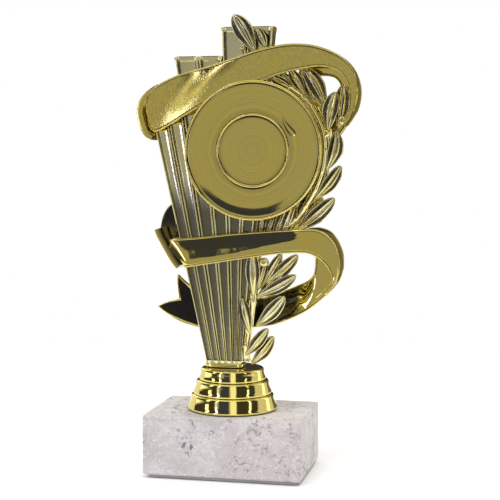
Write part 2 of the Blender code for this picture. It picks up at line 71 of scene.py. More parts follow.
# ---- Shader graphs --------------------------------------------------------------------------------
class Level:
    """A number that varies over a surface; its arithmetic adds Math nodes to the graph."""

    def __init__(self, graph: "Graph", socket: bpy.types.NodeSocket) -> None:
        """Wrap one output socket of a graph."""
        self.graph = graph
        self.socket = socket

    def _math(self, operation: str, first: "Level | float", second: "Level | float") -> "Level":
        """Add a Math node.

        Args:
            operation: The Math node's operation.
            first: Its first value.
            second: Its second value.

        Returns:
            The result, as a level of the same graph.
        """
        node = self.graph.add("ShaderNodeMath", {"operation": operation}, {0: first, 1: second})
        return Level(self.graph, node.outputs[0])

    def __add__(self, other: "Level | float") -> "Level":
        """Return the sum."""
        return self._math("ADD", self, other)

    __radd__ = __add__

    def __sub__(self, other: "Level | float") -> "Level":
        """Return the difference."""
        return self._math("SUBTRACT", self, other)

    def __rsub__(self, other: float) -> "Level":
        """Return the difference from a plain number."""
        return self._math("SUBTRACT", other, self)

    def __mul__(self, other: "Level | float") -> "Level":
        """Return the product."""
        return self._math("MULTIPLY", self, other)

    __rmul__ = __mul__

    def __truediv__(self, other: "Level | float") -> "Level":
        """Return the quotient."""
        return self._math("DIVIDE", self, other)

    def bent(self, operation: str, other: "Level | float" = 0.0) -> "Level":
        """Return another Math operation on this level, such as ABSOLUTE or ARCTAN2."""
        return self._math(operation, self, other)

    def rise(self, low: float, high: float) -> "Level":
        """Return 0 below low and 1 above high, with a smooth rise between them.

        Args:
            low: Where the rise starts.
            high: Where it ends.

        Returns:
            The mask as a level.
        """
        node = self.graph.add(
            "ShaderNodeMapRange",
            {"interpolation_type": "SMOOTHSTEP"},
            {"Value": self, "From Min": low, "From Max": high},
        )
        return Level(self.graph, node.outputs[0])

    def window(self, low: float, high: float, soft: float) -> "Level":
        """Return 1 between low and high and 0 outside, over a soft edge."""
        return self.rise(low - soft, low + soft) * (1 - self.rise(high - soft, high + soft))


class Graph:
    """A node tree under construction."""

    def __init__(self, tree: bpy.types.NodeTree) -> None:
        """Start from an empty tree."""
        self.tree = tree
        self.tree.nodes.clear()

    def add(self, kind: str, settings: dict | None = None, sockets: dict | None = None) -> bpy.types.Node:
        """Add one node.

        Args:
            kind: The node's type.
            settings: Its properties, set first.
            sockets: Values or links for its inputs, by name or number.

        Returns:
            The new node.
        """
        node = self.tree.nodes.new(kind)
        for key, value in (settings or {}).items():
            setattr(node, key, value)
        for key, value in (sockets or {}).items():
            if isinstance(value, Level):
                self.tree.links.new(value.socket, node.inputs[key])
            elif isinstance(value, bpy.types.NodeSocket):
                self.tree.links.new(value, node.inputs[key])
            else:
                node.inputs[key].default_value = value
        return node

    def level(self, node: bpy.types.Node, output: str | int = 0) -> Level:
        """Return one output of a node as a level."""
        return Level(self, node.outputs[output])

    def mix(self, factor: Level | float, first: object, second: object) -> bpy.types.NodeSocket:
        """Mix two colours.

        Args:
            factor: How much of the second colour shows.
            first: A colour or a colour socket.
            second: A colour or a colour socket.

        Returns:
            The mixed colour's socket.
        """
        colours = [(*c, 1.0) if isinstance(c, tuple) and len(c) == 3 else c for c in (first, second)]
        node = self.add("ShaderNodeMix", {"data_type": "RGBA"}, {0: factor, 6: colours[0], 7: colours[1]})
        return node.outputs[2]

    def vector(self, operation: str, first: object, second: object) -> bpy.types.NodeSocket:
        """Return the vector result of a Vector Math node."""
        return self.add("ShaderNodeVectorMath", {"operation": operation}, {0: first, 1: second}).outputs[0]


class Surface(Graph):
    """A material's graph with one Principled shader."""

    def __init__(self, name: str) -> None:
        """Make a material and its shader.

        Args:
            name: The material's name.
        """
        self.material = bpy.data.materials.new(name)
        self.material.use_nodes = True
        super().__init__(self.material.node_tree)
        self.shader = self.add("ShaderNodeBsdfPrincipled")
        self.add("ShaderNodeOutputMaterial", {}, {"Surface": self.shader.outputs[0]})
        self.place = self.add("ShaderNodeTexCoord").outputs["Object"]

    def scaled(self, per_mm: tuple[float, float, float]) -> bpy.types.NodeSocket:
        """Return the place on the piece, multiplied by cells per millimetre along each axis."""
        return self.vector("MULTIPLY", self.place, tuple(value / MM for value in per_mm))

    def noise(self, per_mm: tuple[float, float, float], detail: float = 3.0, rough: float = 0.5,
              distortion: float = 0.0) -> Level:
        """Return a noise whose cells have a size along each axis.

        Args:
            per_mm: Cells per millimetre along X, Y and Z.
            detail: The noise's octaves.
            rough: How strong the fine octaves are.
            distortion: How much the cells are swirled.

        Returns:
            The noise's value.
        """
        node = self.add(
            "ShaderNodeTexNoise", {},
            {"Vector": self.scaled(per_mm), "Scale": 1.0, "Detail": detail, "Roughness": rough,
             "Distortion": distortion},
        )
        return self.level(node, 0)

    def mark(self, name: str) -> Level:
        """Return a value that the mesh carries at its points."""
        return self.level(self.add("ShaderNodeAttribute", {"attribute_name": name}), "Fac")

    def set(self, **values: object) -> None:
        """Set or link the shader's sockets.

        Args:
            values: Numbers, colours, levels or sockets by the socket's name, with underscores for spaces.
        """
        for key, value in values.items():
            socket = self.shader.inputs[key.replace("_", " ")]
            if isinstance(value, Level):
                self.tree.links.new(value.socket, socket)
            elif isinstance(value, bpy.types.NodeSocket):
                self.tree.links.new(value, socket)
            elif isinstance(value, tuple):
                socket.default_value = (*value, 1.0)
            else:
                socket.default_value = value

    def bump(self, height: Level, strength: float, distance_mm: float) -> None:
        """Feed the shader's Normal from a height.

        Args:
            height: The height, 0 to 1.
            strength: The bump's strength.
            distance_mm: How far a height of 1 stands up.
        """
        node = self.add(
            "ShaderNodeBump", {},
            {"Strength": strength, "Distance": distance_mm * MM, "Height": height},
        )
        self.tree.links.new(node.outputs[0], self.shader.inputs["Normal"])


# ---- Finishes -------------------------------------------------------------------------------------
class Grain(Enum):
    """How a gold surface was worked."""

    CROSS_BRUSHED = "cross brushed"
    TURNED_FACE = "turned face"
    MOULDED = "moulded"
    POLISHED = "polished"


@dataclass(frozen=True)
class GoldPlate:
    """Metallised gold plastic; the mesh's marks paint shade and dark reflections into grooves and onto some
    faces.
    """

    name: str
    colour: Colour = (0.80, 0.66, 0.17)
    brassy: Colour = (0.84, 0.66, 0.13)
    # painted shade: the near-black colour painted into grooves and onto marked faces in place of shade and
    # dark reflections; the random dark specks use it too
    painted_shade: Colour = (0.050, 0.048, 0.046)
    roughness: float = 0.035
    uneven: float = 0.05
    streak: float = 0.0
    grain: Grain = Grain.MOULDED
    grain_depth_mm: float = 0.02
    turned_centre: tuple[float, float, float] = (10.3, 0.0, 121.8)

    def _grain_height(self, surface: Surface) -> Level:
        """Make the fine relief of this grain.

        Args:
            surface: The material's graph.

        Returns:
            The height as a level, about 0 to 1.
        """
        if self.grain is Grain.CROSS_BRUSHED:
            strokes = surface.noise((2.6, 1.2, 0.9), detail=3.0, rough=0.6, distortion=0.7)
            fine = surface.noise((7.0, 4.0, 3.0), detail=2.0, rough=0.6)
            return strokes * 0.7 + fine * 0.3
        if self.grain is Grain.TURNED_FACE:
            centre = tuple(value * MM for value in self.turned_centre)
            from_axis = surface.vector("SUBTRACT", surface.place, centre)
            flat = surface.vector("MULTIPLY", from_axis, (1.0, 0.0, 1.0))
            length = surface.add("ShaderNodeVectorMath", {"operation": "LENGTH"}, {0: flat})
            radius = surface.level(length, "Value") / MM
            wander = surface.noise((0.12, 0.12, 0.12)) * 2.4
            rings = surface.add(
                "ShaderNodeTexNoise", {"noise_dimensions": "1D"},
                {"W": radius + wander, "Scale": 0.9, "Detail": 4.0, "Roughness": 0.7},
            )
            speckle = surface.noise((1.8, 1.8, 1.8), detail=3.0, rough=0.6)
            return surface.level(rings, 0) * 0.75 + speckle * 0.25
        if self.grain is Grain.POLISHED:
            return surface.noise((0.35, 0.35, 0.35), detail=2.0, rough=0.4)
        return surface.noise((1.3, 1.3, 1.0), detail=3.0, rough=0.55, distortion=0.3)

    def material(self) -> bpy.types.Material:
        """Build the material.

        Returns:
            The finished material.
        """
        surface = Surface(self.name)
        patches = surface.noise((0.07, 0.07, 0.05), detail=3.0, rough=0.55, distortion=0.5)
        specks = surface.noise((2.2, 2.2, 2.2), detail=2.0, rough=0.5)
        toned = surface.mix(patches.rise(0.38, 0.68), self.colour, self.brassy)
        # painted shade: the mesh's mark at each point mixes the colour towards near-black and roughens it
        painted_shade = surface.mark("painted_shade")
        grain = self._grain_height(surface)
        if self.streak:
            dulled = tuple(channel * (1 - self.streak) for channel in self.colour)
            toned = surface.mix(grain.rise(0.60, 0.36), toned, dulled)
            bright = tuple(min(1.0, channel * (1 + self.streak)) for channel in self.brassy)
            toned = surface.mix(grain.rise(0.46, 0.66), toned, bright)
        shaded = surface.mix(painted_shade * 0.97, toned, self.painted_shade)
        surface.set(
            Base_Color=surface.mix(specks.rise(0.66, 0.80) * 0.35, shaded, self.painted_shade),
            Metallic=1.0,
            Roughness=(self.roughness + patches * self.uneven + specks.rise(0.6, 0.8) * 0.10
                       + painted_shade * 0.10),
            Coat_Weight=0.2,
            Coat_Roughness=0.04,
            Coat_IOR=1.5,
        )
        surface.bump(grain, 0.6, self.grain_depth_mm)
        return surface.material


@dataclass(frozen=True)
class VeinedMarble:
    """Honed pale marble with broken dark veins, cloudy patches and specks."""

    name: str = "veined_marble"
    pale: Colour = (0.74, 0.70, 0.68)
    cloud: Colour = (0.55, 0.50, 0.48)
    chalk: Colour = (0.84, 0.82, 0.80)
    grey: Colour = (0.38, 0.34, 0.32)
    rosy: Colour = (0.66, 0.58, 0.56)
    vein: Colour = (0.13, 0.11, 0.11)
    roughness: float = 0.42

    def _veins(self, surface: Surface, per_mm: float, width: float, seed: float) -> Level:
        """Return thin lines where a warped noise crosses its middle value.

        Args:
            surface: The material's graph.
            per_mm: Cells per millimetre.
            width: How far from the middle value a vein reaches.
            seed: An offset that gives each set its own pattern.

        Returns:
            1 on a vein and 0 off it.
        """
        warp = surface.add(
            "ShaderNodeTexNoise", {},
            {"Vector": surface.scaled((per_mm * 2.2,) * 3), "Scale": 1.0, "Detail": 4.0, "Roughness": 0.6})
        pushed = surface.vector("MULTIPLY", warp.outputs[1], (1.5, 1.5, 1.5))
        moved = surface.vector("ADD", surface.scaled((per_mm, per_mm, per_mm * 1.3)), pushed)
        shifted = surface.vector("ADD", moved, (seed, seed * 0.7, seed * 1.3))
        node = surface.add(
            "ShaderNodeTexNoise", {},
            {"Vector": shifted, "Scale": 1.0, "Detail": 2.0, "Roughness": 0.45})
        distance = (surface.level(node, 0) - 0.5).bent("ABSOLUTE")
        return 1 - distance.rise(0.0, width)

    def material(self) -> bpy.types.Material:
        """Build the material.

        Returns:
            The finished material.
        """
        surface = Surface(self.name)
        clouds = surface.noise((0.06, 0.06, 0.08), detail=5.0, rough=0.62, distortion=0.6)
        blush = surface.noise((0.03, 0.03, 0.03), detail=3.0, rough=0.5)
        blotches = surface.noise((0.30, 0.30, 0.38), detail=5.0, rough=0.72, distortion=0.8)
        grains = surface.noise((1.3, 1.3, 1.3), detail=3.0, rough=0.7)
        flakes = surface.noise((0.55, 0.55, 0.80), detail=3.0, rough=0.6, distortion=0.5)
        broken = surface.noise((0.10, 0.10, 0.10), detail=3.0, rough=0.6).rise(0.43, 0.58)
        dashes = surface.noise((0.5, 0.5, 0.5), detail=2.0, rough=0.6).rise(0.42, 0.56)
        ground = surface.mix(clouds.rise(0.36, 0.70), self.pale, self.cloud)
        ground = surface.mix(blush.rise(0.42, 0.66) * 0.6, ground, self.rosy)
        ground = surface.mix(blotches.rise(0.46, 0.60) * 0.65, ground, self.cloud)
        ground = surface.mix(flakes.rise(0.56, 0.66) * 0.6, ground, self.chalk)
        ground = surface.mix(grains.rise(0.50, 0.64) * 0.38, ground, self.grey)
        bold = self._veins(surface, 0.026, 0.020, 3.1) * broken * dashes
        fine = self._veins(surface, 0.060, 0.028, 11.7) * broken.rise(0.3, 0.9) * dashes
        crumbs = grains.rise(0.66, 0.74) * clouds.rise(0.44, 0.60)
        veined = surface.mix(bold * 0.95, ground, self.vein)
        veined = surface.mix(fine * 0.65, veined, self.vein)
        surface.set(
            Base_Color=surface.mix(crumbs * 0.35, veined, self.vein),
            Roughness=self.roughness + blotches * 0.12 + bold * 0.1,
            Specular_IOR_Level=0.45,
        )
        surface.bump(grains * 0.5 + blotches * 0.5 - bold * 0.6, 0.35, 0.05)
        return surface.material


@dataclass(frozen=True)
class PressedFelt:
    """Thin pale felt."""

    name: str = "pressed_felt"
    colour: Colour = (0.50, 0.47, 0.45)
    lint: Colour = (0.66, 0.63, 0.61)

    def material(self) -> bpy.types.Material:
        """Build the material.

        Returns:
            The finished material.
        """
        surface = Surface(self.name)
        fibres = surface.noise((5.0, 5.0, 5.0), detail=4.0, rough=0.7, distortion=1.2)
        surface.set(
            Base_Color=surface.mix(fibres.rise(0.5, 0.75), self.colour, self.lint),
            Roughness=0.95,
            Sheen_Weight=0.4,
            Sheen_Roughness=0.5,
        )
        surface.bump(fibres, 0.8, 0.12)
        return surface.material


@dataclass(frozen=True)
class ZincPlate:
    """Zinc-plated steel of the bolt, washer and nut."""

    name: str = "zinc_plate"
    colour: Colour = (0.60, 0.61, 0.63)
    dull: Colour = (0.42, 0.43, 0.46)

    def material(self) -> bpy.types.Material:
        """Build the material.

        Returns:
            The finished material.
        """
        surface = Surface(self.name)
        bloom = surface.noise((0.5, 0.5, 0.5), detail=4.0, rough=0.6)
        lines = surface.noise((0.6, 0.6, 9.0), detail=2.0, rough=0.5)
        surface.set(
            Base_Color=surface.mix(bloom.rise(0.4, 0.7), self.colour, self.dull),
            Metallic=1.0,
            Roughness=0.28 + bloom * 0.2,
        )
        surface.bump(lines * 0.6 + bloom * 0.4, 0.4, 0.03)
        return surface.material


# ---- Mesh making ----------------------------------------------------------------------------------
@dataclass
class Point:
    """One point of a closed section: across, deep, and how much painted shade it carries."""

    across: float
    deep: float
    painted_shade: float = 0.0


def smooth_rows(rows: tuple[Row, ...], steps: int) -> list[Row]:
    """Pass a Catmull-Rom curve through rows of numbers.

    Args:
        rows: The rows that the curve passes through.
        steps: How many points each stretch between two rows gets.

    Returns:
        The rows of the finer curve.
    """
    padded = [rows[0], *rows, rows[-1]]
    curve: list[Row] = []
    for before, start, end, after in zip(padded, padded[1:], padded[2:], padded[3:]):
        for step in range(steps):
            t = step / steps
            curve.append(tuple(
                0.5 * (2 * b + (c - a) * t + (2 * a - 5 * b + 4 * c - d) * t ** 2
                       + (3 * b - a - 3 * c + d) * t ** 3)
                for a, b, c, d in zip(before, start, end, after)))
    curve.append(tuple(rows[-1]))
    return curve


def circle(sides: int) -> list[tuple[float, float]]:
    """Return the cosine and sine of evenly spaced angles round a full turn."""
    return [(math.cos(2 * math.pi * k / sides), math.sin(2 * math.pi * k / sides)) for k in range(sides)]


def ease(value: float) -> float:
    """Return a smooth step from 0 to 1 of a value held between 0 and 1."""
    held = min(1.0, max(0.0, value))
    return held * held * (3 - 2 * held)


class Skin:
    """A closed skin laid over a row of rings, with a painted shade value at each point."""

    def __init__(self, name: str) -> None:
        """Start an empty skin.

        Args:
            name: The name of the piece that it becomes.
        """
        self.name = name
        self.points: list[tuple[float, float, float]] = []
        self.painted_shades: list[float] = []
        self.faces: list[tuple[int, ...]] = []
        self.rings: list[list[int]] = []

    def ring(self, points: Ring, painted_shades: list[float] | None = None) -> None:
        """Add one ring; a ring of one point closes the skin in a tip.

        Args:
            points: The ring's points in millimetres.
            painted_shades: How much painted shade each point carries; none does where this is left out.
        """
        start = len(self.points)
        self.points += points
        self.painted_shades += painted_shades or [0.0] * len(points)
        self.rings.append(list(range(start, start + len(points))))

    def _strip(self, first: list[int], second: list[int]) -> None:
        """Join two neighbouring rings with faces.

        Args:
            first: The points of one ring, by number.
            second: The points of the next ring.
        """
        count = max(len(first), len(second))
        for index in range(count):
            after = (index + 1) % count
            near = [first[index], first[after]] if len(first) > 1 else [first[0]]
            far = [second[after], second[index]] if len(second) > 1 else [second[0]]
            self.faces.append(tuple(near + far))

    def build(self, sharp: float = 50.0) -> bpy.types.Object:
        """Turn the rings into an object, with a flat face at each open end.

        Args:
            sharp: The angle in degrees over which an edge stays sharp.

        Returns:
            The new object, linked to the scene.
        """
        for first, second in zip(self.rings, self.rings[1:]):
            self._strip(first, second)
        sides = len(self.faces)
        self.faces += [tuple(end) for end in (self.rings[0], self.rings[-1]) if len(end) > 1]
        mesh = bpy.data.meshes.new(self.name)
        mesh.from_pydata([tuple(c * MM for c in point) for point in self.points], [], self.faces)
        # painted shade: each point's darkening is stored on the mesh for the gold material
        mark = mesh.attributes.new("painted_shade", "FLOAT", "POINT")
        mark.data.foreach_set("value", self.painted_shades)
        self._face_out(mesh)
        mesh.shade_smooth()
        mesh.set_sharp_from_angle(angle=math.radians(sharp))
        for face in list(mesh.polygons)[sides:]:
            face.use_smooth = False
        piece = bpy.data.objects.new(self.name, mesh)
        bpy.context.collection.objects.link(piece)
        return piece

    @staticmethod
    def _face_out(mesh: bpy.types.Mesh) -> None:
        """Make every face of a closed mesh point out.

        Args:
            mesh: The mesh, changed in place.
        """
        shape = bmesh.new()
        shape.from_mesh(mesh)
        bmesh.ops.recalc_face_normals(shape, faces=shape.faces)
        if shape.calc_volume(signed=True) < 0:
            bmesh.ops.reverse_faces(shape, faces=shape.faces)
        shape.to_mesh(mesh)
        shape.free()


def turned(name: str, profile: list[Row], sides: int, centre: Row, upright: bool) -> bpy.types.Object:
    """Turn a profile about an axis.

    Args:
        name: The piece's name.
        profile: Rows of radius, place along the axis and painted shade, from one end to the other.
        sides: How many points go round each ring.
        centre: Where the axis passes, in the two directions across it.
        upright: Whether the axis is Z; otherwise it is Y.

    Returns:
        The new object.
    """
    skin = Skin(name)
    for radius, along, painted_shade in profile:
        ring = []
        for cosine, sine in circle(sides):
            first, second = centre[0] + radius * cosine, centre[1] + radius * sine
            ring.append((first, second, along) if upright else (first, along, second))
        skin.ring(ring, [painted_shade] * sides)
    return skin.build()


def rimmed_section(width: float, depth: float, crown: float, bead: float = 1.0) -> list[Point]:
    """Draw the section of a ribbon: round edges, a bead along each edge and a crowned face.

    Args:
        width: From one edge to the other.
        depth: From the front to the back.
        crown: How far the middle of the face stands up from its hollows.
        bead: The bead's size, where 1 is full size.

    Returns:
        The closed section, front first and then back.
    """
    full_size, full_width = 0.62, 6.5
    size = full_size * bead * min(1.0, width / full_width)
    round_off = 0.5 * size
    # painted shade: the third number paints a dark line in the groove between each bead and the face
    edge = [
        Point(0.0, round_off, 0.0), Point(0.13 * round_off, 0.5 * round_off, 0.0),
        Point(0.5 * round_off, 0.13 * round_off, 0.0), Point(0.62 * size, 0.0, 0.0),
        Point(0.86 * size, 0.12 * size, 0.35), Point(1.05 * size, 0.36 * size, 1.0),
        Point(1.30 * size, 0.42 * size, 0.8), Point(1.50 * size, 0.37 * size, 0.1),
        Point(1.65 * size, 0.36 * size, 0.0), Point(1.85 * size, 0.36 * size, 0.0),
    ]
    face_points = 9
    start, floor = edge[-1].across, edge[-1].deep
    span = width - 2 * start
    face = []
    for index in range(1, face_points):
        t = index / face_points
        lift = crown * math.sin(math.pi * t) ** 0.8
        face.append(Point(start + span * t, floor - min(lift, floor), 0.0))
    front = edge + face + [Point(width - p.across, p.deep, p.painted_shade) for p in reversed(edge)]
    return front + [Point(p.across, depth - p.deep, p.painted_shade) for p in reversed(front)]


# ---- Sub-assemblies -------------------------------------------------------------------------------
@dataclass
class Band:
    """One run of the ribbon: rows of outer and inner edge points between a front and a back.

    A run can lie back in three ways: the bow steps back smoothly across a slanted line, the barrel rounds
    that step from edge to edge, and the tilts lean the face back above a level. The shade is painted shade:
    a darker colour on the face standing in for dark reflections.
    """

    node: str
    rows: tuple[Row, ...]
    front: float
    back: float
    crown: float = 0.12
    steps: int = 6
    bow_from: float = -99.0
    bow_to: float = -100.0
    bow_depth: float = 0.0
    bow_slant: float = 0.0
    bow_level: float = 142.0
    barrel: float = 0.0
    tilts: tuple[Row, ...] = ()
    # painted shade: how dark the face is painted, up to which X and below which height
    shade: float = 0.0
    shade_to: float = 0.0
    shade_soft: float = 2.0
    shade_below: float = 999.0
    edge: float = 0.6

    def _bow(self, x: float, z: float, across: float) -> float:
        """Return how far the bow and the barrel lay the run back at a place.

        Args:
            x: The place along the run.
            z: Its height.
            across: Its part of the run's width.

        Returns:
            The depth in millimetres.
        """
        place = x - self.bow_slant * (z - self.bow_level)
        t = max(0.0, min(1.0, (self.bow_from - place) / (self.bow_from - self.bow_to)))
        step_back = self.bow_depth * (t - math.sin(2 * math.pi * t) / (2 * math.pi))
        return step_back + self.barrel * math.sin(math.pi * t) * (2 * across - 1) ** 2

    def _tilt(self, x: float, z: float) -> float:
        """Return how far the face lies back at a place.

        Args:
            x: The place along the run.
            z: Its height.

        Returns:
            The depth in millimetres; it grows evenly above the level where the tilt starts.
        """
        if not self.tilts:
            return 0.0
        held = min(max(x, self.tilts[0][0]), self.tilts[-1][0])
        for start, end in zip(self.tilts, self.tilts[1:]):
            if held <= end[0]:
                part = (held - start[0]) / (end[0] - start[0])
                level = start[1] + (end[1] - start[1]) * part
                slope = start[2] + (end[2] - start[2]) * part
                return slope * max(0.0, z - level)
        return 0.0

    def _shade_at(self, x: float, z: float) -> float:
        """Return how much painted shade the face gets at a place."""
        along = 1 - ease((x - self.shade_to) / self.shade_soft)
        return self.shade * along * (1 - ease((z - self.shade_below) / self.shade_soft))

    def build(self) -> bpy.types.Object:
        """Build the run as one rimmed strip with rounded ends.

        Returns:
            The new object.
        """
        skin = Skin(self.node + "_moulded")
        curve = smooth_rows(self.rows, self.steps)
        last = len(curve) - 1
        thick = self.back - self.front
        for index, (x1, z1, x2, z2) in enumerate(curve):
            outer, inner = Vector((x1, z1)), Vector((x2, z2))
            width = (inner - outer).length
            across = (inner - outer) / width
            squeeze = {0: 0.55, 1: 0.93, last - 1: 0.93, last: 0.55}.get(index, 1.0)
            ring, painted_shades = [], []
            for point in rimmed_section(width, thick, self.crown):
                at = outer + across * point.across
                deep = thick / 2 + (point.deep - thick / 2) * squeeze
                to_back = deep / thick
                leaned = self._tilt(at.x, at.y) * (1 - to_back)
                bowed = self._bow(at.x, at.y, point.across / width)
                ring.append((at.x, self.front + deep + leaned + bowed, at.y))
                # painted shade on the front half of the run, kept off the edges, on top of the groove's
                # painted line
                shade = self._shade_at(at.x, at.y) if to_back < 0.5 else 0.0
                on_edge = min(point.across, width - point.across) < self.edge
                painted_shades.append(max(point.painted_shade, 0.0 if on_edge else shade))
            skin.ring(ring, painted_shades)
        return skin.build()


@dataclass
class Fold:
    """The edge-on wall where the ribbon turns round from front to back."""

    node: str
    path: tuple[Row, ...]
    front: float
    back: float
    thickness: float
    side: int
    # painted shade over the wall, standing in for dark reflections
    shade: float = 0.0
    steps: int = 6
    crown: float = 0.2
    bead: float = 0.8
    edge: float = 0.35

    def build(self) -> bpy.types.Object:
        """Build the wall with rimmed faces.

        Returns:
            The new object.
        """
        skin = Skin(self.node + "_moulded")
        curve = [Vector(point) for point in smooth_rows(self.path, self.steps)]
        depth = self.back - self.front
        for index, point in enumerate(curve):
            ahead = curve[min(index + 1, len(curve) - 1)]
            behind = curve[max(index - 1, 0)]
            along = (ahead - behind).normalized()
            inward = self.side * Vector((-along.y, along.x))
            section = rimmed_section(depth, self.thickness, self.crown, self.bead)
            ring, painted_shades = [], []
            for place in section:
                at = point + inward * place.deep
                ring.append((at.x, self.front + place.across, at.y))
                on_edge = min(place.across, depth - place.across) < self.edge and place.deep < 0.5
                painted_shades.append(max(place.painted_shade * 0.6, 0.0 if on_edge else self.shade))
            skin.ring(ring, painted_shades)
        return skin.build()


@dataclass
class Ribbon:
    """The long ribbon that winds round the column from its upper end to the swallow tail."""

    front: tuple[float, float] = (-9.3, -6.5)
    wall: tuple[float, float] = (-6.6, 4.3)
    rear: tuple[float, float] = (4.2, 7.0)
    right_fold: float = 1.8
    upper_left_fold: float = 2.4
    lower_left_fold: float = 2.2
    upper_front: tuple[Row, ...] = (
        (-31.6, 139.5, -31.4, 136.2), (-30.8, 142.3, -30.6, 131.5), (-28.7, 145.0, -28.6, 128.9),
        (-25.1, 147.3, -25.2, 129.9), (-19.2, 149.9, -19.3, 133.1), (-11.6, 151.9, -11.2, 137.7),
        (-3.1, 154.1, -1.6, 142.2), (5.2, 156.6, 6.7, 145.0), (11.5, 158.5, 13.4, 147.3),
        (17.5, 159.8, 18.7, 149.2), (22.7, 160.5, 23.5, 150.5), (27.4, 160.5, 27.7, 151.3),
        (32.3, 159.9, 31.6, 151.9), (37.8, 158.2, 35.2, 152.1), (42.5, 155.7, 38.9, 151.5),
        (45.4, 153.0, 41.8, 150.1), (47.4, 149.9, 43.9, 148.0), (48.2, 146.0, 45.3, 145.1),
        (48.1, 142.1, 46.0, 142.0), (47.3, 137.9, 46.0, 138.7), (45.9, 133.9, 45.2, 135.0),
        (43.6, 130.6, 43.3, 131.3),
    )
    upper_right: tuple[Row, ...] = (
        (31.2, 160.2), (36.8, 158.6), (41.6, 156.0), (44.6, 153.3), (46.8, 149.9), (48.1, 145.8),
        (48.3, 141.6), (47.2, 136.9), (45.2, 133.3), (43.4, 130.8),
    )
    upper_left: tuple[Row, ...] = (
        (-27.4, 146.6), (-30.6, 144.7), (-33.3, 142.2), (-35.0, 139.4), (-35.5, 136.4),
        (-34.8, 132.2), (-33.6, 129.0), (-32.0, 126.8), (-29.9, 125.7),
    )
    upper_end: tuple[Row, ...] = (
        (-33.0, 140.6, -31.4, 128.0), (-28.0, 143.2, -27.2, 127.9), (-20.0, 145.0, -19.6, 130.8),
        (-12.0, 147.2, -11.6, 134.2),
    )
    diagonal: tuple[Row, ...] = (
        (25.0, 159.8, 25.1, 150.0), (31.6, 159.3, 31.1, 149.6), (38.0, 157.2, 35.6, 149.4),
        (42.9, 153.4, 38.5, 148.4), (46.1, 147.8, 40.2, 145.9), (47.0, 142.3, 39.0, 143.6),
        (45.5, 136.0, 36.0, 141.6), (41.6, 129.4, 29.5, 140.0), (35.2, 121.6, 22.5, 134.5),
        (25.2, 112.4, 16.4, 124.0), (10.6, 101.8, 5.2, 113.2), (-3.9, 93.4, -8.9, 106.2),
        (-16.9, 88.6, -18.0, 102.8), (-23.4, 87.5, -21.4, 102.0), (-27.6, 87.6, -25.4, 101.4),
        (-29.6, 88.8, -27.8, 99.0), (-30.1, 90.8, -29.4, 95.4),
    )
    lower_front: tuple[Row, ...] = (
        (-22.7, 88.3, -16.2, 78.0), (-10.2, 89.5, -7.5, 79.4), (1.3, 90.9, 1.3, 80.9),
        (12.7, 91.9, 9.7, 82.3), (18.4, 92.4, 17.6, 83.5), (26.2, 92.9, 25.3, 84.2),
        (33.2, 93.1, 30.4, 84.1), (37.7, 91.2, 33.4, 82.9), (40.9, 87.3, 36.3, 80.9),
        (42.5, 81.0, 38.7, 77.7), (42.1, 76.4, 39.7, 74.6), (40.1, 72.2, 39.1, 71.7),
        (37.6, 68.8, 37.2, 69.0),
    )
    lower_right: tuple[Row, ...] = (
        (29.8, 93.0), (33.4, 93.0), (37.0, 91.7), (39.5, 88.9), (41.4, 85.1), (42.1, 81.9),
        (41.9, 77.1), (40.2, 72.6), (36.9, 68.6),
    )
    lower_left: tuple[Row, ...] = (
        (-28.8, 91.8), (-27.8, 89.2), (-26.6, 87.0), (-24.8, 83.8), (-23.0, 80.8), (-21.4, 78.5),
        (-20.3, 77.2),
    )
    return_run: tuple[Row, ...] = (
        (40.9, 84.0, 31.2, 84.0), (40.9, 77.3, 30.9, 78.0), (39.3, 72.0, 30.1, 74.7),
        (35.0, 67.0, 27.6, 72.4), (27.9, 61.2, 23.0, 70.2), (19.6, 57.1, 14.8, 66.9),
        (12.5, 55.0, 8.9, 65.3), (-1.2, 53.4, -1.9, 64.9), (-10.0, 53.3, -10.6, 66.4),
    )
    tail_outline: tuple[Row, ...] = (
        (-11.0, 66.6), (-14.6, 67.9), (-18.2, 69.4), (-20.9, 71.4), (-23.4, 73.6), (-23.4, 71.2),
        (-23.1, 68.8), (-22.7, 66.5), (-22.3, 64.4), (-24.5, 63.8), (-26.7, 63.3), (-28.9, 62.5),
        (-31.0, 61.5), (-29.2, 60.1), (-27.5, 58.9), (-25.6, 57.8), (-23.6, 56.8), (-21.4, 55.8),
        (-19.1, 55.0), (-14.7, 54.0), (-10.4, 53.4),
    )
    tail_middle: Row = (-17.5, 62.0)
    tail_lean: float = 0.16
    # painted shade on the tail's faces, standing in for dark reflections
    tail_shade: float = 0.9
    lower_tilts: tuple[Row, ...] = (          # (x, level where the face starts to lie back, slope)
        (-23.0, 78.6, 0.150), (-14.0, 80.0, 0.155), (-4.0, 81.4, 0.160), (6.0, 83.9, 0.165),
        (14.0, 86.1, 0.170), (25.0, 88.7, 0.170), (28.5, 90.0, 0.0), (50.0, 90.0, 0.0),
    )
    return_tilts: tuple[Row, ...] = (
        (-11.0, 52.0, 0.19), (20.0, 54.0, 0.19), (26.0, 58.0, 0.17), (31.0, 62.0, 0.0), (50.0, 62.0, 0.0),
    )
    diagonal_tilts: tuple[Row, ...] = (
        (-31.0, 86.0, 0.16), (-8.0, 90.0, 0.16), (0.0, 94.0, 0.0), (50.0, 94.0, 0.0),
    )
    finish: GoldPlate = GoldPlate("gold_upper_ribbon", grain=Grain.CROSS_BRUSHED, grain_depth_mm=0.045,
                                  streak=0.16, uneven=0.02)
    smooth_finish: GoldPlate = GoldPlate("gold_lower_ribbon", grain=Grain.POLISHED, grain_depth_mm=0.03,
                                         roughness=0.025, uneven=0.02)

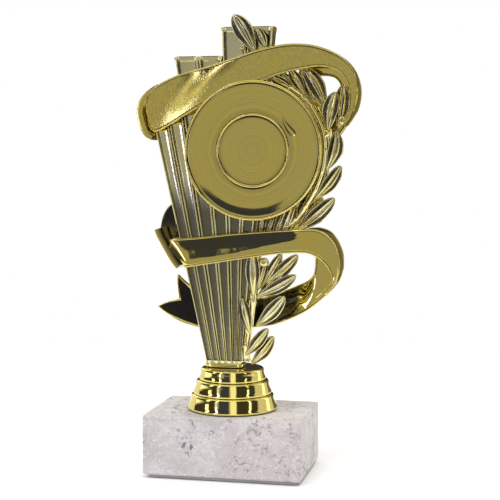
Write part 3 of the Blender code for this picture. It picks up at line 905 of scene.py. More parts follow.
    def _tail(self) -> bpy.types.Object:
        """Build the swallow tail as one notched plate with round edges.

        Returns:
            The new object.
        """
        skin = Skin("ribbon_swallow_tail_moulded")
        front, back = self.rear
        middle = Vector(self.tail_middle)
        near = ((1.0, 0.36), (0.55, 0.1), (0.3, 0.0), (0.08, 0.1), (0.0, 0.45))      # (inset, depth)
        far = [(inset, back - front - deep) for inset, deep in reversed(near)]
        for inset, deep in (*near, *far):
            ring = []
            for corner in map(Vector, self.tail_outline):
                at = corner + (middle - corner).normalized() * inset
                ring.append((at.x, front + deep + self.tail_lean * (at.y - middle.y), at.y))
            # painted shade goes on the tail's flat front and back faces
            mark = self.tail_shade if inset == near[0][0] else 0.0
            skin.ring(ring, [mark] * len(ring))
        return skin.build()

    def build(self) -> list[bpy.types.Object]:
        """Build and dress every run and fold.

        Returns:
            The ribbon's pieces.
        """
        # The shade settings below paint dark reflections onto parts of the runs and onto the lower left
        # fold.
        bands = (
            Band("upper_ribbon_front", self.upper_front, *self.front, crown=0.0,
                 bow_from=-5.0, bow_to=-25.0, bow_depth=1.8, bow_slant=0.73, barrel=0.5),
            Band("upper_ribbon_end", self.upper_end, *self.rear),
            Band("ribbon_diagonal_run", self.diagonal, *self.rear, tilts=self.diagonal_tilts,
                 shade=0.8, shade_to=38.0, shade_soft=4.0, shade_below=143.0),
            Band("lower_ribbon_front", self.lower_front, *self.front, tilts=self.lower_tilts),
            Band("ribbon_return_run", self.return_run, *self.rear, tilts=self.return_tilts,
                 shade=0.92, shade_to=24.0, shade_soft=1.2),
        )
        folds = (
            Fold("upper_ribbon_right_fold", self.upper_right, *self.wall, self.right_fold, -1),
            Fold("upper_ribbon_left_fold", self.upper_left, *self.wall, self.upper_left_fold, 1),
            Fold("lower_ribbon_right_fold", self.lower_right, *self.wall, self.right_fold, -1),
            Fold("lower_ribbon_left_fold", self.lower_left, *self.wall, self.lower_left_fold, 1,
                 shade=0.85),
        )
        brushed, smooth = self.finish.material(), self.smooth_finish.material()
        pieces = []
        for part in (*bands, *folds):
            material = brushed if part.node.startswith("upper") else smooth
            pieces.append(dress(part.build(), material, part.node))
        pieces.append(dress(self._tail(), smooth, "ribbon_swallow_tail"))
        return pieces


@dataclass
class Column:
    """Three stepped, fluted blocks that fan out above a small foot."""

    foot_z: float = 41.3
    half_depth: float = 3.7
    flute: float = 0.85
    bead: float = 1.05
    top_rim: float = 1.7
    gap: float = 0.06
    line_foot_z: float = 41.6
    bead_share: float = 0.13
    # painted shade: the beads' feet are painted darker, and the panels are painted darker towards the foot
    bead_painted_shade: float = 0.7
    dish: float = 0.27
    painted_shade_below: float = 112.0
    painted_shade_over: float = 14.0
    panel_painted_shade: tuple[float, float] = (0.1, 0.75)
    panel_steps: int = 30
    top_squeeze: float = 0.9
    foot_sides: int = 40
    foot_power: float = 0.35
    lines: tuple[Row, ...] = ((-9.5, -0.2255), (-4.1, -0.1515), (0.8, -0.0330), (4.2, 0.0970))
    tops: tuple[float, ...] = (139.0, 157.0, 167.6)
    names: tuple[str, ...] = ("column_block_left", "column_block_middle", "column_block_right")
    finish: GoldPlate = GoldPlate("gold_column", colour=(0.88, 0.81, 0.46), brassy=(0.88, 0.79, 0.36),
                                  grain=Grain.MOULDED, grain_depth_mm=0.04, roughness=0.05)

    def _edge(self, line: int, height: float) -> float:
        """Return X of a dividing line at a height."""
        foot_x, slope = self.lines[line]
        return foot_x + slope * (height - self.line_foot_z)

    def _bead(self, left: float, right: float) -> list[Point]:
        """Draw the front of one round bead.

        Args:
            left: X of its left side.
            right: X of its right side.

        Returns:
            Its points from left to right.
        """
        points = []
        for t in (0.0, 0.12, 0.3, 0.5, 0.7, 0.88, 1.0):
            arch = math.sin(math.pi * t)
            deep = self.flute * (1 - arch ** 0.6)
            points.append(Point(left + (right - left) * t, deep, self.bead_painted_shade * (1 - arch)))
        return points

    def _level(self, left: float, right: float, panel: float, dark: float) -> list[Point]:
        """Draw the front line of a block at one level.

        Args:
            left: X of the block's left side.
            right: X of its right side.
            panel: How far the panels lie below the ribs.
            dark: How much painted shade the panels get.

        Returns:
            Points from left to right; deep is measured from the ribs' crests.
        """
        bead = min(self.bead, (right - left) * self.bead_share)
        middle = (left + right) / 2
        line = [Point(left, self.flute, 0.5)]
        ribs = ((left, left + bead), (middle - bead, middle),
                (middle, middle + bead), (right - bead, right))
        for index, (start, end) in enumerate(ribs):
            line += self._bead(start, end)
            if index in (0, 2):
                stop = ribs[index + 1][0]
                dish = (self.dish - 0.2 * dark) * (panel / self.flute)
                # painted shade: full dark along the panel's edges beside the ribs, the panel's own painted
                # shade between them
                for t in (0.04, 0.12, 0.3, 0.5, 0.7, 0.88, 0.96):
                    deep = panel + dish * math.sin(math.pi * t)
                    line.append(Point(end + (stop - end) * t, deep, 1.0 if t in (0.04, 0.96) else dark))
        return line

    def _block(self, index: int) -> bpy.types.Object:
        """Build one block.

        Args:
            index: Its place from the left.

        Returns:
            The new block, fluted in front and behind.
        """
        name, top = self.names[index], self.tops[index]
        skin = Skin(name + "_moulded")
        foot, rim = self.foot_z + 0.1, top - self.top_rim
        low = foot + 1.15
        levels = [(foot, 0.0), (foot + 0.9, 0.0), (low, self.flute)]      # (height, depth of the panels)
        levels += [(low + (rim - foot - 1.4) * step / self.panel_steps, self.flute)
                   for step in range(1, self.panel_steps)]
        levels += [(rim - 0.2, self.flute), (rim, 0.1), (top - self.top_rim * 0.5, 0.0), (top - 0.3, 0.0),
                   (top, 0.4)]
        pale, darker = self.panel_painted_shade
        for height, panel in levels:
            left = self._edge(index, height) + self.gap
            right = self._edge(index + 1, height) - self.gap
            # painted shade: the panels are painted darker towards the foot
            dark = pale + darker * ease((self.painted_shade_below - height) / self.painted_shade_over)
            line = self._level(left, right, panel, dark)
            half = self.half_depth * (1.0 if height < top else self.top_squeeze)
            if height in (foot, foot + 0.9) or height > rim - 0.1:
                line = [Point(p.across, min(p.deep, panel + 0.15)) for p in line]
            ring = [(p.across, -half + p.deep, height) for p in line]
            ring += [(p.across, half - p.deep, height) for p in reversed(line)]
            skin.ring(ring, [p.painted_shade for p in (*line, *reversed(line))])
        return skin.build(sharp=60)

    def _foot(self) -> bpy.types.Object:
        """Build the foot bead with round edges.

        Returns:
            The new object.
        """
        skin = Skin("column_foot_moulded")
        low, high = (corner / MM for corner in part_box("column_foot"))
        middle, half = (low + high) / 2, (high - low) / 2
        for t, grow in ((-1.0, 0.93), (-0.8, 0.98), (-0.35, 1.0), (0.35, 1.0), (0.8, 0.98), (1.0, 0.93)):
            ring = []
            for cosine, sine in circle(self.foot_sides):
                across = math.copysign(abs(cosine) ** self.foot_power, cosine)
                deep = math.copysign(abs(sine) ** self.foot_power, sine)
                ring.append((middle.x + half.x * grow * across, middle.y + half.y * grow * deep,
                             middle.z + half.z * t))
            skin.ring(ring)
        return skin.build()

    def build(self) -> list[bpy.types.Object]:
        """Build and dress the blocks and the foot.

        Returns:
            The column's pieces.
        """
        material = self.finish.material()
        pieces = [dress(self._block(index), material, name) for index, name in enumerate(self.names)]
        pieces.append(dress(self._foot(), material, "column_foot"))
        return pieces


@dataclass
class EmblemDisc:
    """Round emblem holder with a double rim, a turned face and an inner ring."""

    centre: tuple[float, float] = (10.3, 121.8)
    radius: float = 25.7
    back: float = -9.7
    front: float = -12.6
    sides: int = 144
    drop: tuple[Row, ...] = ((20.9, 134.6), (26.2, 127.0))
    drop_width: float = 2.7
    drop_steps: int = 16
    drop_shoulder: float = 0.75
    drop_bend: float = 0.35
    # painted shade: the third column paints a dark outline round the drop's rim
    drop_relief: tuple[Row, ...] = (          # (part of the half width, height, hollow)
        (-1.0, 0.0, 1.0), (-0.8, 0.16, 1.0), (-0.52, 0.26, 1.0), (-0.42, 0.28, 0.0), (0.0, 0.30, 0.0),
        (0.42, 0.28, 0.0), (0.52, 0.26, 1.0), (0.8, 0.16, 1.0), (1.0, 0.0, 1.0), (0.5, -0.2, 0.0),
        (-0.5, -0.2, 0.0),
    )
    post_sides: int = 48
    finish: GoldPlate = GoldPlate("gold_disc", grain=Grain.TURNED_FACE, grain_depth_mm=0.02,
                                  roughness=0.02, uneven=0.012, streak=0.07)

    def _profile(self) -> list[Row]:
        """Draw the disc's outline from the back, round the rim and over the face to the middle.

        Returns:
            Rows of radius, Y and painted shade; the shade draws a dark outline on the rim's side and in the
            ring grooves.
        """
        f = self.front
        r = self.radius
        return [
            (4.0, self.back, 0), (r - 2.0, self.back, 0), (r - 0.6, self.back, 0),
            (r - 0.15, self.back - 0.18, 0), (r, self.back - 0.6, 0.8), (r, f + 0.95, 0.8),
            (r - 0.01, f + 0.7, 0.3), (r - 0.08, f + 0.35, 0), (r - 0.3, f + 0.08, 0),
            (r - 0.55, f, 0), (r - 0.8, f + 0.1, 0.2), (r - 0.98, f + 0.4, 1.0), (r - 1.16, f + 0.5, 1.0),
            (r - 1.35, f + 0.42, 0.6), (r - 1.6, f + 0.40, 0.1), (r - 2.0, f + 0.46, 0),
            (r - 2.5, f + 0.53, 0), (r - 3.0, f + 0.60, 0), (r - 3.8, f + 0.70, 0),
            (r - 4.4, f + 0.765, 0), (r - 5.0, f + 0.81, 0), (r - 5.8, f + 0.845, 0),
            (r - 7.0, f + 0.87, 0), (r - 8.5, f + 0.89, 0), (r - 10.0, f + 0.91, 0),
            (13.95, f + 0.94, 0.2), (13.75, f + 0.98, 1.0), (13.6, f + 0.72, 0.5), (13.42, f + 0.60, 0),
            (13.2, f + 0.56, 0), (12.98, f + 0.62, 0), (12.8, f + 0.82, 0.6), (12.64, f + 1.02, 1.0),
            (12.4, f + 0.98, 0.4), (11.5, f + 0.98, 0), (8.0, f + 0.97, 0), (4.0, f + 0.96, 0),
            (1.5, f + 0.96, 0),
        ]

    def _drop(self) -> bpy.types.Object:
        """Build the low drop-shaped bead on the face.

        Returns:
            The new object.
        """
        skin = Skin("emblem_disc_drop")
        start, end = map(Vector, self.drop)
        across = Vector((end.y - start.y, start.x - end.x)).normalized()
        floor = self.front + 0.95
        skin.ring([(start.x, floor, start.y)])
        for step in range(1, self.drop_steps):
            t = step / self.drop_steps
            past = max(0.0, (t - self.drop_shoulder) / (1 - self.drop_shoulder))
            half = self.drop_width / 2 * min(1.0, t / self.drop_shoulder) ** 0.8 * (1 - past ** 2) ** 0.5
            middle = start + (end - start) * t + across * self.drop_bend * math.sin(math.pi * t)
            ring = []
            for part, lift, _ in self.drop_relief:
                at = middle + across * half * part
                ring.append((at.x, floor - lift, at.y))
            skin.ring(ring, [painted_shade for _, _, painted_shade in self.drop_relief])
        skin.ring([(end.x, floor, end.y)])
        return skin.build()

    def _post(self) -> bpy.types.Object:
        """Build the waisted post behind the disc.

        Returns:
            The new object.
        """
        low, high = (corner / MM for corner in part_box("disc_post"))
        middle = (low + high) / 2
        reach = (high.x - low.x) / 2
        profile = [(reach, low.y, 0.0), (reach * 0.93, low.y + 0.6, 0.0), (reach * 0.86, middle.y, 0.0),
                   (reach * 0.93, high.y - 0.6, 0.0), (reach, high.y, 0.0)]
        return turned("disc_post_turned", profile, self.post_sides, (middle.x, middle.z), upright=False)

    def build(self) -> list[bpy.types.Object]:
        """Build and dress the disc, its drop and its post.

        Returns:
            The disc's pieces.
        """
        material = self.finish.material()
        disc = turned("emblem_disc_turned", self._profile(), self.sides, self.centre, upright=False)
        return [dress(disc, material, "emblem_disc"), dress(self._drop(), material, "emblem_disc"),
                dress(self._post(), material, "disc_post")]


@dataclass
class Laurel:
    """Stems, leaves and berries."""

    layers: dict[str, float] = field(default_factory=lambda: {"front": -5.1, "middle": -3.0, "rear": -0.9})
    leaf_thick: float = 1.9
    leaf_steps: int = 26
    leaf_curl: float = 0.35
    stem_steps: int = 10
    stem_sides: int = 14
    stem_joint: float = 0.18
    strip_radius: float = 1.0
    berry_steps: int = 12
    berry_sides: int = 20
    leaves: tuple = (                         # (node, base, tip, width, layer, bend)
        ("laurel_leaf_01", (7.9, 41.2), (16.6, 52.2), 5.2, "middle", 0.6),
        ("laurel_leaf_02", (6.1, 44.9), (14.9, 55.4), 4.8, "front", 0.3),
        ("laurel_leaf_03", (9.8, 55.6), (20.9, 67.4), 5.7, "middle", 0.4),
        ("laurel_leaf_04", (8.0, 53.2), (4.8, 66.8), 4.6, "front", 0.0),
        ("laurel_leaf_05", (10.2, 67.3), (25.1, 75.4), 5.2, "middle", 0.7),
        ("laurel_leaf_06", (12.3, 71.1), (25.4, 82.9), 5.4, "rear", 0.5),
        ("laurel_leaf_07", (9.4, 67.4), (8.9, 84.0), 5.8, "front", 0.0),
        ("laurel_leaf_08", (19.8, 89.4), (24.9, 102.6), 5.2, "front", 0.3),
        ("laurel_leaf_09", (23.0, 90.0), (31.2, 108.2), 6.4, "rear", 0.4),
        ("laurel_leaf_10", (25.6, 92.2), (39.5, 104.3), 6.0, "middle", 0.5),
        ("laurel_leaf_11", (32.2, 103.9), (41.8, 116.2), 5.4, "middle", 0.8),
        ("laurel_leaf_12", (36.4, 114.6), (40.3, 128.9), 6.0, "middle", 1.2),
        ("laurel_leaf_13", (37.2, 129.2), (39.9, 143.2), 6.2, "front", -0.6),
        ("laurel_leaf_14", (36.0, 137.4), (27.9, 152.2), 6.4, "middle", 0.9),
        ("laurel_leaf_15", (31.6, 139.2), (26.2, 152.0), 5.0, "rear", 0.4),
        ("laurel_leaf_16", (28.0, 142.4), (22.6, 151.4), 4.6, "middle", 0.3),
        ("laurel_leaf_17", (24.6, 143.8), (15.6, 148.8), 3.8, "front", 0.3),
        ("laurel_leaf_18", (9.8, 158.2), (1.7, 171.7), 7.2, "front", 0.4),
        ("laurel_leaf_19", (14.0, 159.4), (10.4, 166.6), 3.7, "front", 0.2),
        ("laurel_leaf_20", (40.8, 129.9), (42.6, 146.0), 6.0, "middle", 0.2),
    )
    side_leaves: tuple = (                    # (piece, its node, base, tip, width, layer, bend)
        ("laurel_leaf_05_inner", "laurel_leaf_05", (9.4, 65.8), (20.8, 77.4), 4.6, "rear", 0.2),
        ("laurel_leaf_06_inner", "laurel_leaf_06", (11.1, 69.9), (19.2, 83.4), 4.4, "rear", 0.2),
        ("laurel_leaf_06_low", "laurel_leaf_06", (10.7, 69.4), (13.9, 81.5), 3.2, "middle", 0.1),
        ("laurel_leaf_08_inner", "laurel_leaf_08", (16.4, 88.6), (21.4, 100.9), 4.4, "middle", 0.2),
        ("laurel_leaf_08_low", "laurel_leaf_08", (13.2, 88.2), (16.6, 99.6), 4.0, "rear", 0.0),
        ("laurel_leaf_08_foot", "laurel_leaf_08", (10.4, 88.0), (12.6, 99.4), 3.8, "rear", 0.0),
        ("laurel_leaf_10_inner", "laurel_leaf_10", (21.8, 90.0), (34.8, 104.4), 5.2, "rear", 0.2),
        ("laurel_leaf_11_inner", "laurel_leaf_11", (29.4, 100.4), (35.9, 115.2), 4.8, "rear", 0.3),
        ("laurel_leaf_16_inner", "laurel_leaf_16", (25.4, 143.6), (18.9, 150.4), 3.6, "rear", 0.2),
    )
    berries: tuple = (                        # (node, centre, radius)
        ("laurel_berry_lower", (13.3, -4.7, 80.2), 1.8),
        ("laurel_berry_side", (36.6, -4.6, 128.0), 1.45),
        ("laurel_berry_right", (42.6, -5.6, 132.8), 1.8),
        ("laurel_berry_top", (5.2, -5.0, 159.7), 1.1),
    )
    stems: tuple = (                          # (node, Y, radius, path)
        ("laurel_stem_lower", -2.2, 1.5, ((6.1, 42.4), (6.2, 48.0), (7.0, 55.0), (8.4, 65.0),
                                          (9.5, 74.0), (11.0, 84.5), (16.0, 91.6))),
        ("laurel_stem_upper", 1.4, 1.6, ((17.4, 92.9), (25.4, 98.9), (32.2, 107.1), (35.9, 118.3),
                                         (35.9, 129.0), (32.5, 137.3), (26.0, 143.2), (20.6, 146.2),
                                         (17.6, 149.6))),
    )
    strip: tuple = ((21.6, 93.6), (25.6, 96.6), (29.0, 101.4), (32.4, 107.3), (35.0, 114.6), (35.9, 121.6),
                    (35.6, 127.4), (34.1, 132.0), (31.0, 137.6), (27.4, 141.4), (22.5, 145.0))
    finish: GoldPlate = GoldPlate("gold_laurel", colour=(0.87, 0.79, 0.42), brassy=(0.88, 0.77, 0.32),
                                  roughness=0.05, grain_depth_mm=0.025)

    # painted shade: the third column paints the leaf's valleys dark
    relief: tuple[Row, ...] = (               # (part of the half width, part of the half thickness, hollow)
        (-1.0, 0.0, 0.0), (-0.97, 0.32, 0.0), (-0.92, 0.50, 0.0), (-0.87, 0.44, 0.2), (-0.82, 0.16, 1.0),
        (-0.50, 0.10, 1.0), (-0.42, 0.35, 0.8), (-0.36, 0.85, 0.0), (-0.27, 1.00, 0.0), (-0.18, 0.92, 0.0),
        (-0.11, 0.66, 0.5), (0.0, 0.58, 0.35), (0.14, 0.62, 0.25), (0.24, 0.92, 0.0), (0.34, 1.00, 0.0),
        (0.43, 0.84, 0.1), (0.50, 0.30, 0.9), (0.58, 0.10, 1.0), (0.78, 0.14, 1.0), (0.85, 0.42, 0.2),
        (0.91, 0.50, 0.0), (0.97, 0.32, 0.0),
    )

    def _swell(self, t: float) -> float:
        """Return the part of its greatest width that a leaf has at a part of its length."""
        return min(1.0, t / 0.48) ** 0.62 * (1 - max(0.0, (t - 0.5) / 0.5) ** 2.5) ** 0.62

    def _leaf(self, name: str, base: Row, tip: Row, width: float, y: float,
              bend: float) -> bpy.types.Object:
        """Build one pointed leaf with a mid rib, side ribs and a raised rim.

        Args:
            name: What the leaf is called.
            base: X and Z of its base.
            tip: X and Z of its tip.
            width: Its greatest width.
            y: The middle of its thickness.
            bend: How far its middle line bows sideways.

        Returns:
            The new leaf.
        """
        skin = Skin(name + "_moulded")
        start, end = Vector(base), Vector(tip)
        along = end - start
        across = Vector((along.y, -along.x)).normalized()
        skin.ring([(start.x, y, start.y)])
        back = [(part, -lift, painted_shade) for part, lift, painted_shade in reversed(self.relief[1:])]
        section = (*self.relief, (1.0, 0.0, 0.0), *back)
        for step in range(1, self.leaf_steps):
            t = (1 - math.cos(math.pi * step / self.leaf_steps)) / 2
            swell = self._swell(t)
            half = width / 2 * swell
            rise = self.leaf_thick / 2 * (0.3 + 0.7 * swell)
            middle = start + along * t + across * bend * math.sin(math.pi * t)
            curl = -self.leaf_curl * math.sin(math.pi * t)
            ring, painted_shades = [], []
            for part, lift, painted_shade in section:
                at = middle + across * half * part
                ring.append((at.x, y + curl - rise * lift, at.y))
                painted_shades.append(painted_shade * min(1.0, swell * 1.2))
            skin.ring(ring, painted_shades)
        skin.ring([(end.x, y, end.y)])
        return skin.build(sharp=75)

    def _stem(self, name: str, path: tuple[Row, ...], y: float, radius: float) -> bpy.types.Object:
        """Build one stem as a round rod with gentle joints.

        Args:
            name: What the stem is called.
            path: Its line, as X and Z.
            y: The line's Y.
            radius: The rod's radius between the joints.

        Returns:
            The new stem.
        """
        skin = Skin(name + "_moulded")
        curve = [Vector(point) for point in smooth_rows(path, self.stem_steps)]
        for index, point in enumerate(curve):
            along = (curve[min(index + 1, len(curve) - 1)] - curve[max(index - 1, 0)]).normalized()
            across = Vector((-along.y, along.x))
            near_joint = max(0.0, math.cos(index * 2 * math.pi / self.stem_steps)) ** 6
            swell = 1.0 + self.stem_joint * near_joint
            ring = []
            for cosine, sine in circle(self.stem_sides):
                at = point + across * radius * swell * cosine
                ring.append((at.x, y + radius * swell * sine, at.y))
            skin.ring(ring)
        return skin.build()

    def _berry(self, name: str, centre: Row, radius: float) -> bpy.types.Object:
        """Build one berry with a dimple at its front.

        Args:
            name: What the berry is called.
            centre: Its centre.
            radius: Its radius.

        Returns:
            The new berry.
        """
        skin = Skin(name + "_moulded")
        for step in range(self.berry_steps + 1):
            polar = math.pi * step / self.berry_steps
            dimple = 0.22 * math.exp(-(polar / 0.35) ** 2)
            y = centre[1] + radius * -math.cos(polar) * (1 - dimple)
            reach = radius * math.sin(polar)
            if step in (0, self.berry_steps):
                skin.ring([(centre[0], y, centre[2])])
                continue
            ring = [(centre[0] + reach * cosine, y, centre[2] + reach * sine)
                    for cosine, sine in circle(self.berry_sides)]
            # painted shade in the dimple at the berry's front
            skin.ring(ring, [math.exp(-(polar / 0.3) ** 2)] * self.berry_sides)
        return skin.build()

    def build(self) -> list[bpy.types.Object]:
        """Build and dress the laurel.

        Returns:
            Its pieces.
        """
        material = self.finish.material()
        pieces = []
        own_leaves = [(row[0], *row) for row in self.leaves]
        for name, node, base, tip, width, layer, bend in (*own_leaves, *self.side_leaves):
            leaf = self._leaf(name, base, tip, width, self.layers[layer], bend)
            pieces.append(dress(leaf, material, node))
        for name, y, radius, path in self.stems:
            pieces.append(dress(self._stem(name, path, y, radius), material, name))
        strip = self._stem("laurel_strip", self.strip, self.layers["front"], self.strip_radius)
        pieces.append(dress(strip, material, "laurel_stem_upper"))
        for name, centre, radius in self.berries:
            pieces.append(dress(self._berry(name, centre, radius), material, name))
        return pieces


@dataclass
class Collar:
    """Stepped bright collar, a thin shell that is empty inside."""

    bottom: float = 23.9
    top: float = 39.6
    wall: float = 1.5
    sides: int = 128
    steps: tuple[Row, ...] = (                # (radius at the foot, radius at the top, foot Z, top Z)
        (17.15, 15.8, 23.9, 29.7), (14.95, 13.9, 29.7, 35.0), (12.7, 12.0, 35.0, 39.6),
    )
    finish: GoldPlate = GoldPlate("gold_collar", colour=(0.88, 0.74, 0.24), brassy=(0.90, 0.76, 0.22),
                                  roughness=0.045, grain=Grain.POLISHED, grain_depth_mm=0.02)

    def _outline(self) -> list[Row]:
        """Draw the collar's outline from the top's middle, down the outside and up the inside.

        Returns:
            Rows of radius, Z and painted shade.
        """
        wall = self.wall
        line = [(4.0, self.top, 0), (9.6, self.top, 0), (10.6, self.top - 0.02, 0.0)]
        for wide, narrow, bottom, top in reversed(self.steps):
            line += [(narrow - 0.75, top - 0.06, 0), (narrow - 0.4, top - 0.2, 0),
                     (narrow - 0.12, top - 0.5, 0), (narrow, top - 0.95, 0)]
            body = wide - narrow - 0.25
            for t in (0.25, 0.5, 0.75, 1.0):
                line.append((narrow + body * t ** 1.3, top - 0.95 - (top - 0.95 - bottom - 1.25) * t, 0))
            # painted shade in the crease at the foot of each step
            line += [(wide - 0.05, bottom + 0.95, 0), (wide, bottom + 0.7, 0),
                     (wide - 0.03, bottom + 0.4, 0), (wide - 0.14, bottom + 0.15, 0.3),
                     (wide - 0.4, bottom + 0.02, 1.0)]
        line += [(self.steps[0][0] - wall, self.bottom + 0.02, 0)]
        for wide, narrow, bottom, top in self.steps[:2]:
            line += [(wide - wall - 0.1, bottom + 0.3, 0), (narrow - wall, top - wall, 0)]
        wide, narrow, bottom, _ = self.steps[2]
        line += [(wide - wall, bottom, 0), (narrow - wall, self.top - 2 * wall, 0),
                 (4.0, self.top - 2 * wall, 0)]
        return line

    def build(self) -> list[bpy.types.Object]:
        """Build and dress the collar.

        Returns:
            A list with the collar in it.
        """
        collar = turned("collar_turned", self._outline(), self.sides, (0.0, 0.0), upright=True)
        return [dress(collar, self.finish.material(), "collar")]


@dataclass
class Stand:
    """The marble block and its hidden fastening, which keep their frame meshes."""

    marble: VeinedMarble = VeinedMarble()
    felt: PressedFelt = PressedFelt()
    zinc: ZincPlate = ZincPlate()

    def build(self, nodes: dict) -> None:
        """Dress the frame's own pieces.

        Args:
            nodes: The frame's objects by name.
        """
        finishes = {"marble_base": self.marble.material(), "base_felt": self.felt.material()}
        finishes.update(dict.fromkeys(("base_washer", "tie_bolt", "captive_nut"), self.zinc.material()))
        for name, material in finishes.items():
            piece = nodes[name]
            piece.data.materials.clear()
            piece.data.materials.append(material)
            LOG.info("dressed %s", name)


def dress(piece: bpy.types.Object, material: bpy.types.Material, node: str) -> bpy.types.Object:
    """Give a piece its material, let it ride on the figure and stand for a node.

    Args:
        piece: The new piece.
        material: Its material.
        node: The frame's node that it stands for.

    Returns:
        The same piece.
    """
    piece.data.materials.append(material)
    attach(piece, FIGURE_BODY)
    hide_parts(node)
    LOG.info("built %s with %d faces", piece.name, len(piece.data.polygons))
    return piece


# ---- Studio ---------------------------------------------------------------------------------------
@dataclass(frozen=True)
class Lamp:
    """A rectangular soft lamp, placed by direction and distance from the trophy."""

    name: str
    azimuth: float
    elevation: float
    distance: float
    width: float
    height: float
    power: float

    def build(self, aim: Vector) -> None:
        """Hang the lamp and turn it to a point.

        Args:
            aim: The point in metres that it faces.
        """
        light = bpy.data.lights.new(self.name, "AREA")
        light.shape = "RECTANGLE"
        light.size = self.width
        light.size_y = self.height
        light.energy = self.power
        away = toward(self.azimuth, self.elevation)
        lamp = bpy.data.objects.new(self.name, light)
        lamp.location = aim + away * self.distance
        lamp.visible_glossy = False
        lamp.rotation_euler = (-away).to_track_quat("-Z", "Y").to_euler()
        bpy.context.collection.objects.link(lamp)


def toward(azimuth: float, elevation: float) -> Vector:
    """Return the direction of an azimuth, 0 in front and growing to the right, and an elevation."""
    az, el = math.radians(azimuth), math.radians(elevation)
    return Vector((math.sin(az) * math.cos(el), -math.cos(az) * math.cos(el), math.sin(el)))


DARK: Colour = (0.044, 0.050, 0.130)
WARM_DARK: Colour = (0.045, 0.043, 0.042)


@dataclass(frozen=True)
class Panel:
    """A soft-edged patch of the surroundings, in degrees; its azimuth is 0 in front and grows rightwards."""

    name: str
    left: float
    right: float
    low: float
    high: float
    soft: float
    colour: Colour


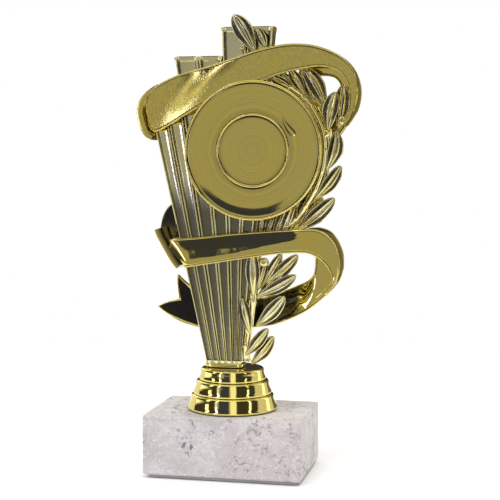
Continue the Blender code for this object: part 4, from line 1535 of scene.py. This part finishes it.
@dataclass
class Studio:
    """Pale floor, white surroundings, lamps and the camera."""

    camera_place: tuple[float, float, float] = (111.2, -466.9, 122.0)
    look_azimuth: float = 12.6
    look_elevation: float = 4.5
    lens: float = 91.5
    floor_radius: float = 0.34
    floor_drop: float = 0.0002
    floor_sides: int = 96
    aim: Row = (0.0, 0.0, 0.09)
    wall: Colour = (0.40, 0.40, 0.42)
    panels: tuple[Panel, ...] = (
        Panel("ceiling", -190.0, 190.0, 50.0, 95.0, 4.0, (1.1, 1.1, 1.1)),
        Panel("right_wall", 88.0, 148.0, -12.0, 46.0, 2.0, (0.70, 0.68, 0.63)),
        Panel("left_wall", -160.0, -106.0, -40.0, 46.0, 2.0, (0.9, 0.88, 0.82)),
        Panel("dark_front", -18.0, 3.0, 7.5, 16.0, 0.5, DARK),
        Panel("dark_front_left", -25.0, -17.0, 12.0, 16.0, 0.5, DARK),
        Panel("dark_high", -25.5, 3.0, 14.0, 44.0, 1.2, DARK),
        Panel("dark_high_left", -50.0, -24.5, 24.0, 44.0, 1.2, DARK),
        Panel("light_centre", 7.0, 24.0, -40.0, 46.0, 1.2, (1.1, 1.08, 1.0)),
        Panel("dark_low_right", 25.0, 50.0, -40.0, 9.0, 1.5, WARM_DARK),
        Panel("dark_low_left", -66.0, -42.0, -40.0, 8.0, 1.5, WARM_DARK),
        Panel("dark_right", 25.0, 86.0, 7.0, 46.0, 1.5, WARM_DARK),
        Panel("dark_left", -106.0, -37.0, 8.0, 46.0, 1.5, WARM_DARK),
        Panel("olive_rear", 148.0, 180.0, -30.0, 40.0, 2.0, (0.17, 0.145, 0.06)),
        Panel("dark_rear_edge", 177.0, 190.0, -30.0, 40.0, 2.0, WARM_DARK),
        Panel("dark_rear_wrap", -190.0, -158.0, -30.0, 40.0, 2.0, WARM_DARK),
        Panel("dark_rear_left", -185.0, -150.0, -60.0, 12.0, 2.0, WARM_DARK),
        Panel("left_glow", -104.0, -68.0, -40.0, 6.0, 2.0, (1.5, 1.5, 1.45)),
        Panel("right_glow", 54.0, 100.0, -40.0, 5.0, 2.0, (1.0, 1.0, 0.96)),
        Panel("left_mid_strip", -35.0, -30.5, 8.0, 22.0, 0.6, (1.1, 1.1, 1.1)),
        Panel("left_high_strip", -35.0, -30.5, 21.0, 44.0, 0.6, (4.5, 4.7, 9.0)),
        Panel("left_low_strip", -34.5, -30.5, -4.0, 7.0, 0.6, (4.8, 5.0, 10.0)),
        Panel("left_lamp", -66.0, -56.0, 12.0, 40.0, 1.0, (2.2, 2.2, 2.1)),
        Panel("right_lamp", 60.0, 66.0, 12.0, 40.0, 1.0, (1.8, 1.8, 1.7)),
        Panel("rear_strip", 118.0, 130.0, -6.0, 44.0, 2.0, (1.8, 1.8, 1.7)),
        Panel("rear_left_strip", -150.0, -140.0, 12.0, 40.0, 2.0, (2.0, 2.0, 1.9)),
    )
    lamps: tuple[Lamp, ...] = (
        Lamp("left_softbox", -60.0, 24.0, 0.9, 0.22, 0.7, 2.0),
        Lamp("right_softbox", 78.0, 30.0, 0.9, 0.16, 0.6, 0.15),
        Lamp("top_softbox", 10.0, 70.0, 0.9, 0.7, 0.5, 4.0),
        Lamp("rear_softbox", 165.0, 55.0, 1.0, 0.8, 0.5, 2.5),
    )

    def _camera(self) -> None:
        """Place the camera."""
        back = toward(self.look_azimuth, self.look_elevation)
        data = bpy.data.cameras.new("camera")
        data.lens = self.lens
        data.clip_start = 0.01
        camera = bpy.data.objects.new("camera", data)
        camera.location = Vector(self.camera_place) * MM
        camera.rotation_euler = (-back).to_track_quat("-Z", "Y").to_euler()
        bpy.context.collection.objects.link(camera)
        bpy.context.scene.camera = camera

    def _floor(self) -> None:
        """Lay a round pale floor."""
        points = [(self.floor_radius * cosine, self.floor_radius * sine, 0.0)
                  for cosine, sine in circle(self.floor_sides)]
        mesh = bpy.data.meshes.new("floor")
        mesh.from_pydata(points, [], [tuple(range(self.floor_sides))])
        floor = bpy.data.objects.new("floor", mesh)
        floor.location.z = -self.floor_drop
        surface = Surface("pale_floor")
        surface.set(Base_Color=(0.92, 0.92, 0.92), Roughness=0.8, Specular_IOR_Level=0.2)
        mesh.materials.append(surface.material)
        bpy.context.collection.objects.link(floor)

    def _surroundings(self) -> None:
        """Light the trophy from a grey room with dark openings and bright panels."""
        world = bpy.data.worlds.new("studio")
        world.use_nodes = True
        bpy.context.scene.world = world
        graph = Graph(world.node_tree)
        direction = graph.add("ShaderNodeTexCoord").outputs["Generated"]
        parts = graph.add("ShaderNodeSeparateXYZ", {}, {0: direction})
        x, y, z = (graph.level(parts, axis) for axis in range(3))
        degrees = math.degrees(1.0)
        azimuth = x.bent("ARCTAN2", y * -1.0) * degrees
        elevation = z.bent("ARCSINE") * degrees
        room = None
        for panel in self.panels:
            mask = azimuth.window(panel.left, panel.right, panel.soft)
            mask = mask * elevation.window(panel.low, panel.high, panel.soft)
            room = graph.mix(mask, room or self.wall, panel.colour)
        seen = graph.add("ShaderNodeLightPath")
        white = graph.add("ShaderNodeBackground", {}, {"Color": (1.0, 1.0, 1.0, 1.0), "Strength": 1.0})
        reflected = graph.add("ShaderNodeBackground", {}, {"Color": room, "Strength": 1.0})
        both = graph.add(
            "ShaderNodeMixShader", {},
            {0: seen.outputs["Is Camera Ray"], 1: reflected.outputs[0], 2: white.outputs[0]},
        )
        graph.add("ShaderNodeOutputWorld", {}, {"Surface": both.outputs[0]})

    def build(self) -> None:
        """Set up the camera, the floor, the surroundings and the lamps."""
        self._camera()
        self._floor()
        self._surroundings()
        for lamp in self.lamps:
            lamp.build(Vector(self.aim))
        bpy.context.scene.view_settings.view_transform = "Standard"


def main() -> None:
    """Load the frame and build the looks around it."""
    logging.basicConfig(level=logging.INFO, format="%(name)s: %(message)s")
    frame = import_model()
    Studio().build()
    Stand().build(frame["nodes"])
    for assembly in (Collar(), Column(), EmblemDisc(), Ribbon(), Laurel()):
        pieces = assembly.build()
        LOG.info("%s: %d pieces", type(assembly).__name__, len(pieces))


if __name__ == "__main__":
    main()
